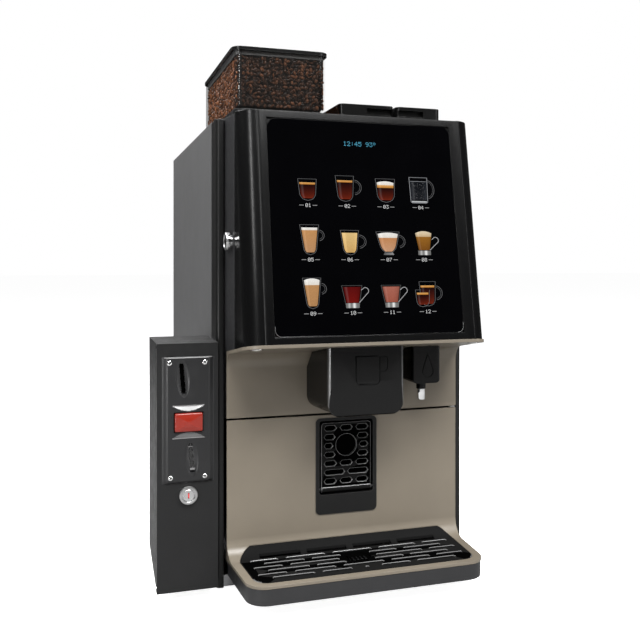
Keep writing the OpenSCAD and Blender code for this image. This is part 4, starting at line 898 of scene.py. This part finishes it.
# Half width, lower and upper end, and height of the coin plate
PLATE_HALF = 36.0
PLATE_Z0, PLATE_Z1 = 162.5, 336.5
PLATE_RISE = 5.0
# Coin slot and coin return, which lean a little: offset from the plate's middle line, height and half length
SLOT_LEAN = math.tan(math.radians(5))
SLOTS = ((-8.0, 306.5, 20.5), (4.0, 197.5, 19.5))
# Straight edge of the finger scoops over and under the button, and the way that each one bulges
CRESCENTS = ((270.5, 1), (225.0, -1))
# Height of the button's middle, and half sizes across and up of the sunk rim and the open well around it
BUTTON_Z = 247
RIM_HALF = (19.8, 13.3)
WELL_HALF = (19.2, 13.2)


def plate_height(dx, z):
    """How far the coin plate stands out of the coin door's face at a point, in millimetres."""
    height = PLATE_RISE * smooth_step((PLATE_HALF - abs(dx)) / 9.5) ** 0.8
    height *= smooth_step((z - PLATE_Z0 + 1) / 6) ** 0.6
    height = min(height, PLATE_RISE * min(1, (PLATE_Z1 - z) / 1.2 + 0.3))
    for slot_dx, slot_z, half in SLOTS:
        ex = dx - slot_dx - (slot_z - z) * SLOT_LEAN
        ez = z - slot_z
        oval = (ex / 9.0) ** 2 + (ez / (half + 5.5)) ** 2
        if oval < 1:
            height -= 2.6 * (1 - oval) ** 0.7
        if abs(ex) < 2.7 and abs(ez) < half:
            height = -2.6
    for crescent_z, way in CRESCENTS:
        reach = 8.0 * (1 - (dx / 22.5) ** 2)
        t = (crescent_z - z) * way
        if 0 < t < reach:
            height -= 2.4 * (1 - t / reach)
    if abs(dx) < RIM_HALF[0] and abs(z - BUTTON_Z) < RIM_HALF[1]:
        height = -1.5
    return height


def in_button_well(dx, z):
    """True where the plate is open for the button."""
    return abs(dx) < WELL_HALF[0] and abs(z - BUTTON_Z) < WELL_HALF[1]


def plate_tone(dx, z):
    """Finish of the coin plate at a point: 0 plain, 1 black painted shade in the slots and sunk rim, 2 and 3
    painted highlights on the crescents and along the top edge.
    """
    if plate_height(dx, z) < -1:
        return 1
    for index, (crescent_z, way) in enumerate(CRESCENTS):
        t = (crescent_z - z) * way
        if 0 < t < 8.0 * (1 - (dx / 22.5) ** 2):
            return 2 + index
    return 3 if z > PLATE_Z1 - 1.6 and abs(dx) < PLATE_HALF - 3 else 0


def make_coin_plate():
    """Face of the coin plate as a height field, open for the button."""
    step = 0.75
    nx, nz = round(2 * PLATE_HALF / step), round((PLATE_Z1 - PLATE_Z0) / step)
    xs = [-PLATE_HALF + 2 * PLATE_HALF * i / nx for i in range(nx + 1)]
    zs = [PLATE_Z0 + (PLATE_Z1 - PLATE_Z0) * j / nz for j in range(nz + 1)]
    front = [(COIN_X + dx, COIN_FACE - plate_height(dx, z), z) for z in zs for dx in xs]
    wide = nx + 1
    cells = [(j, i) for j in range(nz) for i in range(nx)
             if not in_button_well(xs[i] + step / 2, zs[j] + step / 2)]
    faces = [(j * wide + i, j * wide + i + 1, (j + 1) * wide + i + 1, (j + 1) * wide + i) for j, i in cells]
    # Skirt that takes the plate's rim back to the door
    rim = list(range(wide)) + [j * wide + nx for j in range(1, nz + 1)]
    rim += [nz * wide + i for i in range(nx - 1, -1, -1)] + [j * wide for j in range(nz - 1, 0, -1)]
    base = len(front)
    front += [(front[i][0], COIN_FACE + 0.2, front[i][2]) for i in rim]
    n = len(rim)
    faces += [(rim[k], base + k, base + (k + 1) % n, rim[(k + 1) % n]) for k in range(n)]

    def material_of(polygon):
        if polygon.index >= len(cells):
            return 0
        row, column = cells[polygon.index]
        return plate_tone(xs[column] + step / 2, zs[row] + step / 2)

    # Plain grey, black painted shade, and the bright and soft painted highlights
    finishes = ["plate_grey", "slot_black", "bright_highlight", "plate_satin"]
    plate = mesh_piece("coin_plate.fine", front, faces, "coin_door", "coin_paint", finishes, smooth=50,
                       material_of=material_of)
    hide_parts("coin_plate")


def screw(name, x, y, z, body):
    """A pan-head screw facing the front, with its cross recess painted black as shade."""
    radius = 3.7
    head = [(0.01, 1.6), (radius * 0.35, 1.55), (radius * 0.7, 1.25), (radius * 0.93, 0.7), (radius, 0.2),
            (radius, -0.2)]
    lathe(name, head, (x, y, z), (0, -1, 0), body, "chrome_trim", "chrome_trim", turns=32, smooth=60)
    for k, (a, b) in enumerate(((1.9, 0.45), (0.45, 1.9))):
        block(f"{name}.recess{k}", (x - a, y - 1.75, z - b), (x + a, y - 0.9, z + b), body, "chrome_trim",
              "slot_black", 0.1)


def lock_face(name, centre, axis, body, key_finish):
    """Chrome bezel and plug of a cam lock, standing on the end of its barrel, with a key slot painted black
    as shade.
    """
    bezel = [(12.6, -0.4), (12.6, 0.8), (12.0, 1.6), (10.6, 2.0), (9.4, 1.9), (8.7, 1.2), (8.5, 0.3),
             (8.5, -0.4)]
    lathe(name + ".bezel", bezel, centre, axis, body, "chrome_trim", "lock_steel", turns=72, smooth=30)
    plug = [(8.1, -0.4), (8.1, 0.9), (7.5, 1.4), (0.01, 1.5)]
    lathe(name + ".plug", plug, centre, axis, body, "chrome_trim", "machined_steel", turns=64, smooth=30)
    out = Vector(axis)
    across = Vector((1, 0, 0)) if abs(out.x) < 0.5 else Vector((0, 1, 0))
    spots = ((0.9, 4.0, 1.62, "slot_black"), (0.8, 3.4, 1.72, key_finish))
    for k, (half, tall, rise, finish) in enumerate(spots):
        middle = Vector(centre) + out * (rise - 0.5)
        reach = across * half + Vector((0, 0, tall)) + Vector(abs(c) * 0.5 for c in out)
        block(f"{name}.key{k}", middle - reach, middle + reach, body, "chrome_trim", finish, 0.1)


def make_flap():
    """Clear pushed-in flap of the coin return, with a lip at its foot painted bright as a highlight."""
    slot_dx, slot_z, half = SLOTS[1]
    rows = 17
    heights = [slot_z - half + 3.5 + (2 * half - 3.5) * j / (rows - 1) for j in range(rows)]
    points = []
    for y in (COIN_FACE - 3.2, COIN_FACE - 1.8):
        for z in heights:
            wide = min(6.6, 9.0 * math.sqrt(max(0.05, 1 - ((z - slot_z) / (half + 5.5)) ** 2)) - 1.2)
            across = COIN_X + slot_dx + (slot_z - z) * SLOT_LEAN
            points += [(across - wide, y, z), (across + wide, y, z)]
    front = quads(rows, 2, closed=False)
    faces = front + [tuple(2 * rows + k for k in reversed(face)) for face in front]
    rim = [2 * j for j in range(rows)] + [2 * j + 1 for j in range(rows - 1, -1, -1)]
    n = len(rim)
    faces += [(rim[k], n + rim[k], n + rim[(k + 1) % n], rim[(k + 1) % n]) for k in range(n)]
    flap = mesh_piece("coin_return_flap.fine", points, faces, "coin_return_flap", "clear_flap", "clear_flap")
    rod = [(1.0, -9.5), (1.2, -9.2), (1.2, 9.2), (1.0, 9.5)]
    hinge_z = span("coin_return_flap")[1].z - 1.2
    lathe("coin_return_flap.rod", rod, (COIN_X + slot_dx, COIN_FACE - 2.4, hinge_z), (1, 0, 0),
          "coin_return_flap", "clear_flap", "smoky_black", turns=24)
    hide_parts("coin_return_flap")
    lip = COIN_X + slot_dx + 1.4
    block("coin_return_flap.lip", (lip - 3.4, COIN_FACE - 4.4, 180.5), (lip + 3.4, COIN_FACE - 3.0, 183.5),
          "coin_return_flap", "clear_flap", "plate_satin", 0.6)


def make_button():
    """Crowned coin-reject button with rounded corners."""
    low, high = span("coin_button")
    half_x, half_z, crown, corner = (high.x - low.x) / 2, (high.z - low.z) / 2, 2.6, 2.0
    rings = []
    for inset, rise in ((0.0, -7.0), (0.0, 0.6), (0.35, 1.3), (1.2, 1.8), (2.6, 2.1)):
        loop = rounded_loop((0, 0), (half_x - inset, half_z - inset), max(0.4, corner - inset * 0.5), 4)
        rings.append([(x, rise, z) for x, z in loop])
    shoulder = rings[-1]
    for share in (0.8, 0.6, 0.4, 0.2):
        domed = crown * (1 - share ** 2) ** 0.5
        rings.append([(x * share, 2.1 + domed * (1 - (x * share / half_x) ** 2), z * share)
                      for x, _, z in shoulder])
    n = len(shoulder)
    centre_z = middle("coin_button").z
    points = [(COIN_X + x, low.y + 2.6 - rise, centre_z + z) for ring in rings for x, rise, z in ring]
    faces = quads(len(rings), n)
    faces += [tuple(range((len(rings) - 1) * n, len(rings) * n)), tuple(range(n - 1, -1, -1))]
    button = mesh_piece("coin_button.fine", points, faces, "coin_button", "red_plastic", "red_plastic", 50)
    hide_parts("coin_button")


def make_coin_unit():
    make_button()
    make_coin_plate()
    make_flap()
    for k, (dx, z) in enumerate(((-26, 328.6), (22.5, 328.6), (-24.5, 171.5), (22.5, 171.5))):
        screw(f"plate_screw_{k}", COIN_X + dx, COIN_FACE - PLATE_RISE + 0.4, z, "coin_door")
    lock_face("coin_lock_face", (COIN_X, span("coin_lock")[0].y, middle("coin_lock").z), (0, -1, 0),
              "coin_lock", "key_red")


# ---------------------------------------------------------------- outlets, lamps and hopper


def cup_grooves():
    """Outline of a cup with its handle, engraved in the outlet head."""
    front = span("outlet_head")[0].y
    left, right, foot, brim, r = -16.0, 18.5, 298.0, 337.0, 6.0
    body = arc(left + r, foot + r, r, r, 180, 270, 8) + arc(right - r, foot + r, r, r, 270, 360, 8)
    body += [(right, brim), (left, brim)]
    handle = [(right, brim - 0.4)] + arc(25, 332, 5, 4.6, 90, 0, 6)
    handle += arc(25, 321, 5, 5, 0, -90, 6) + [(right, 316)]
    return [bar(body, 2.2, front - 2, front + 1.2, closed=True), bar(handle, 2.0, front - 2.1, front + 1.1)]


def drop_groove():
    """Outline of a drop, engraved in the water outlet."""
    front = span("water_outlet")[0].y
    path = arc(107.6, 307.7, 8.3, 8.3, 19, -199, 28) + [(107.6, 333.2)]
    return [bar(path, 1.8, front - 2, front + 1.1, closed=True)]


def make_nozzle(foot):
    """Steel end of the water outlet, under a black ribbed sleeve."""
    spout = [(0.01, -18), (4.4, -18), (4.6, -26), (5.6, -26.2), (6.0, -25.6), (6.0, -12), (6.3, -11.6),
             (6.3, -10.4), (6.9, -10)]
    for k in range(4):
        ring = -9.6 + k * 2.4
        spout += [(7.1, ring), (7.1, ring + 1.5), (6.5, ring + 1.8), (6.5, ring + 2.2)]
    spout += [(6.9, 0.6), (5.2, 0.8), (5.2, 30)]
    nozzle = lathe("water_nozzle.fine", spout, (*middle("water_nozzle").xy, foot), (0, 0, 1), "front_door",
                   "chrome_trim", ["chrome_trim", "satin_black"], turns=48, finish_of=lambda k: int(k >= 7))
    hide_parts("water_nozzle")


def make_outlets():
    """Outlet head and water outlet with rounded lower corners and engraved marks."""
    low, high = span("outlet_head")
    front, back = 55.3, 61.1
    corners = corner_cutters((low.y - 4, -front, front), (high.y + 1, -back, back), low.z, 20)
    refine("outlet_head", 1.4, 3, finish="satin_black", shape=corners, grooves=cup_grooves(),
           lip="edge_highlight_black", tone_of=head_tone)
    low, high = span("water_outlet")
    corners = corner_cutters((low.y - 2, low.x + 2, high.x - 2), (high.y + 1, low.x, high.x), low.z, 8)
    refine("water_outlet", 1.0, 3, finish="satin_black", shape=corners, grooves=drop_groove(),
           lip="edge_highlight_black")
    make_nozzle(low.z)


def make_lamps():
    """Round work lamps set into the sloping underside of the door."""
    ring = [(8.4, -1.0), (8.4, 0.3), (7.9, 0.9), (6.9, 0.9), (6.5, 0.2)]
    lens = [(6.4, -0.4), (6.2, 0.4), (4.6, 1.1), (2.4, 1.5), (0.01, 1.6)]
    down = (0, -math.sin(TILT), -math.cos(TILT))
    for side in (-1, 1):
        for name, profile, slot, finish, smooth in (("ring", ring, "chrome_trim", "machined_steel", 35),
                                                    ("lens", lens, "clear_flap", "lens_clear", 60)):
            lathe(f"lamp_{name}_{side + 1}", profile, (side * 157, -105, 351.9), down, "front_door", slot,
                  finish, turns=48, smooth=smooth)


def make_glass_edge():
    """Painted highlight along the ground edge of the touch glass, where it catches the light at its foot and
    lower corners.
    """
    half, foot, top, r = 135.6, 10.2, 24, 9.0
    line = [(-half, top)] + arc(-half + r, foot + r, r, r, 180, 270, 10)
    line += arc(half - r, foot + r, r, r, 270, 360, 10) + [(half, top)]
    points, faces = tube([on_glass(u, v, 0.25) for u, v in line], 0.32, 6)
    mesh_piece("touch_glass.edge", points, faces, "front_door", "touch_glass", "smoky_grey", smooth=60)


def make_hopper_plug():
    """Ring under the hopper's lid that fits inside its walls, its left face painted lighter grey as painted
    light.
    """
    low, high = span("hopper_base")
    slack, radius, wall, z0, z1 = 0.7, 7.0, 1.8, 768.5, 776.8
    half = (high - low) / 2
    reach = [half[k] + HOPPER_LAP - WALL_T - slack for k in (0, 1)]
    centre = middle("hopper_base")
    outer = rounded_loop(centre, reach, radius, 6)
    inner = rounded_loop(centre, [r - wall for r in reach], radius - wall, 6)
    points = [(x, y, z) for loop, z in ((outer, z0), (outer, z1), (inner, z1), (inner, z0)) for x, y in loop]
    faces = [tuple(k % len(points) for k in face) for face in quads(5, len(outer))]
    mesh_piece("hopper_lid.plug", points, faces, "hopper_lid", "black_plastic",
               ["smoky_black", "smoky_grey"], material_of=lambda polygon: int(polygon.normal.x < -0.7))


# ---------------------------------------------------------------- lights and floor


def area_light(name, place, target, size, watts):
    """A soft box at a place in the cabinet's frame, facing its target; its size is in metres."""
    data = bpy.data.lights.new(name, "AREA")
    data.shape = "RECTANGLE"
    data.size, data.size_y = size
    data.energy = watts
    light = bpy.data.objects.new(name, data)
    light.location = at(*place)
    aim = at(*target) - light.location
    light.rotation_euler = aim.to_track_quat("-Z", "Y").to_euler()
    bpy.context.scene.collection.objects.link(light)


# Strength of the room seen in reflections, in front of the machine and behind it
ROOM_FRONT = 0.06
ROOM_BACK = 0.07


def make_world():
    """White behind the object, and a dim room for reflections that brightens towards the rear."""
    world = bpy.data.worlds.new("studio")
    world.use_nodes = True
    tree = world.node_tree
    background = tree.nodes["Background"]
    coords = tree.nodes.new("ShaderNodeTexCoord")
    split = tree.nodes.new("ShaderNodeSeparateXYZ")
    room = tree.nodes.new("ShaderNodeMapRange")
    for key, value in (("From Min", -0.1), ("From Max", 0.95), ("To Min", ROOM_FRONT),
                       ("To Max", ROOM_BACK)):
        room.inputs[key].default_value = value
    path = tree.nodes.new("ShaderNodeLightPath")
    mix = tree.nodes.new("ShaderNodeMix")
    mix.inputs["B"].default_value = 1.0
    tree.links.new(coords.outputs["Generated"], split.inputs["Vector"])
    tree.links.new(split.outputs["Y"], room.inputs["Value"])
    tree.links.new(path.outputs["Is Camera Ray"], mix.inputs["Factor"])
    tree.links.new(room.outputs["Result"], mix.inputs["A"])
    tree.links.new(mix.outputs["Result"], background.inputs["Strength"])
    background.inputs["Color"].default_value = (1, 1, 1, 1)
    bpy.context.scene.world = world


def make_studio():
    make_world()
    bpy.context.scene.view_settings.view_transform = "Standard"
    mesh = bpy.data.meshes.new("floor")
    reach = 30.0
    mesh.from_pydata([(-reach, -reach, 0), (reach, -reach, 0), (reach, reach, 0), (-reach, reach, 0)], [],
                     [(0, 1, 2, 3)])
    mesh.materials.append(floor_finish())
    floor = bpy.data.objects.new("floor", mesh)
    bpy.context.scene.collection.objects.link(floor)
    front = (0, -50, 300)
    area_light("key", (100, -1700, 2400), front, (2.0, 1.0), 150)
    area_light("left_side", (-1700, 700, 2300), (-200, 200, 300), (1.4, 1.4), 75)
    area_light("left_strip", (-1500, -1150, 1450), (-150, -60, 500), (0.12, 1.0), 15)
    area_light("low_strip", (-1500, -1150, 130), (-55, -90, 300), (0.1, 0.4), 8)
    area_light("right_strip", (1500, -1400, 900), front, (0.2, 1.6), 12)
    area_light("overhead", (500, -800, 2300), (0, -60, 100), (1.2, 0.8), 20)
    area_light("rear_top", (-300, 1900, 1900), (0, 250, 500), (1.6, 0.8), 30)


# ---------------------------------------------------------------- assembly

BODY_OF = {node: body for body, nodes in frame["record"]["behaviour"]["bodies"].items() for node in nodes}
SLOT_OF = {part["node"]: part["material_slot"] for part in frame["record"]["subparts"]}
MATERIALS = make_materials()

for node, obj in frame["nodes"].items():
    obj.data.materials.clear()
    obj.data.materials.append(MATERIALS[SLOT_OF[node]])

# Width of the rounded edges of each refined node, in millimetres
FINE = {
    "left_side_panel": 0.5, "right_side_panel": 0.5, "rear_panel": 0.4, "top_cover": 0.4, "left_column": 0.8,
    "right_column": 0.8, "hopper_base": 1.0, "fascia_shell": 0.8, "touch_glass": 0.5, "upper_moulding": 0.8,
    "door_lock": 0.6, "lower_moulding": 0.9, "coin_box": 0.7, "coin_door": 0.9, "coin_lock": 0.5,
    "door_frame": 0.6, "feet": 0.8, "inlet_valve": 0.5, "power_inlet": 0.5, "power_switch": 0.5,
}
# The same for nodes with their finish and that of their rounded edges, a painted highlight but for the drip
# tray
LIPPED = {
    "hopper_lid": (0.9, "satin_black", "edge_highlight_black"), "canister_lid_left": (0.9, "satin_black", "edge_highlight_black"),
    "canister_lid_right": (0.9, "satin_black", "edge_highlight_black"),
    "cup_stand_frame": (0.8, "black_plastic", "edge_highlight_black"),
    "drip_tray": (0.8, "dark_plastic", "dark_plastic"),
}
# Middle and radius of the round recess in the drip grille, painted black as shade, and the front of its back
# row of slots, behind which the lips get no painted highlight
RECESS_Y, RECESS_R = -58.5, 20.0
BACK_ROW_Y = -28.0
# Middle and radius of the round hole in the cup stand's leaf, which is painted black as shade
LEAF_HOLE_Z, LEAF_HOLE_R = 196.5, 15.6


def grille_tone(centre, normal, lipped):
    """Painted highlights on the slots' rounded lips, but not near the rim or behind the front of the back
    row; the lattice in the round recess is painted black as shade.
    """
    if math.hypot(centre.x, centre.y - RECESS_Y) < RECESS_R:
        return PAINTED_SHADE_FACE
    low, high = span("drip_grille")
    inside = low.x + 4 < centre.x < high.x - 4 and low.y + 4 < centre.y < BACK_ROW_Y
    return int(lipped and inside)


def leaf_tone(centre, normal, lipped):
    """The cup hole in the fold-down leaf is painted black as shade; the slots' rounded edges take a painted
    highlight.
    """
    return PAINTED_SHADE_FACE if math.hypot(centre.x, centre.z - LEAF_HOLE_Z) < LEAF_HOLE_R else int(lipped)


def tray_tone(centre, normal, lipped):
    """The inside of the tray, seen through the grille, is painted black as shade."""
    low, high = span("drip_tray")
    inside = low.x + 12 < centre.x < high.x - 12 and low.y + 12 < centre.y < high.y - 8
    return PAINTED_SHADE_FACE if inside and normal.z > 0.5 and centre.z < high.z - 4 else 0


def hopper_tone(centre, normal, lipped):
    """Painted shade on the clear walls along their rounded upright corners, but for the one nearest the
    camera.
    """
    return int(abs(normal.x) > 0.2 and abs(normal.y) > 0.2 and (centre.x > 0 or normal.y > 0))


def stand_tone(centre, normal, lipped):
    """The back of the recess behind the slotted leaf is painted black as shade; rounded edges take a painted
    highlight.
    """
    behind = normal.y < -0.5 and centre.y > span("cup_stand_frame")[0].y + 2.5
    return PAINTED_SHADE_FACE if behind else int(lipped)


def head_tone(centre, normal, lipped):
    """The rounded upright edges of the outlet head take the same painted highlight as its engraved lips."""
    upright = abs(normal.z) < 0.3 and abs(normal.x) > 0.3 and normal.y < -0.3 and abs(centre.x) > 45
    return int(lipped or upright)


make_camera()
for node, width in FINE.items():
    refine(node, width)
for node, (width, finish, lip) in LIPPED.items():
    tone_of = {"drip_tray": tray_tone, "cup_stand_frame": stand_tone}.get(node)
    refine(node, width, finish=finish, lip=lip, tone_of=tone_of)
refine("drip_grille", 0.8, finish="grille_black", lip="edge_highlight_bright", clamp=False, tone_of=grille_tone)
refine("cup_stand_grille", 0.7, finish="grille_black", lip="edge_highlight_grey", clamp=False, tone_of=leaf_tone)
refine("bean_hopper", 0, lip="hopper_edge_shade", tone_of=hopper_tone)
make_outlets()
make_lamps()
make_glass_edge()
make_hopper_plug()
make_beans()
make_screen()
make_coin_unit()
# The door lock's key mark is black painted shade too
lock_face("door_lock_face", (span("door_lock")[0].x, *middle("door_lock").yz), (-1, 0, 0), "door_lock",
          "slot_black")
make_studio()
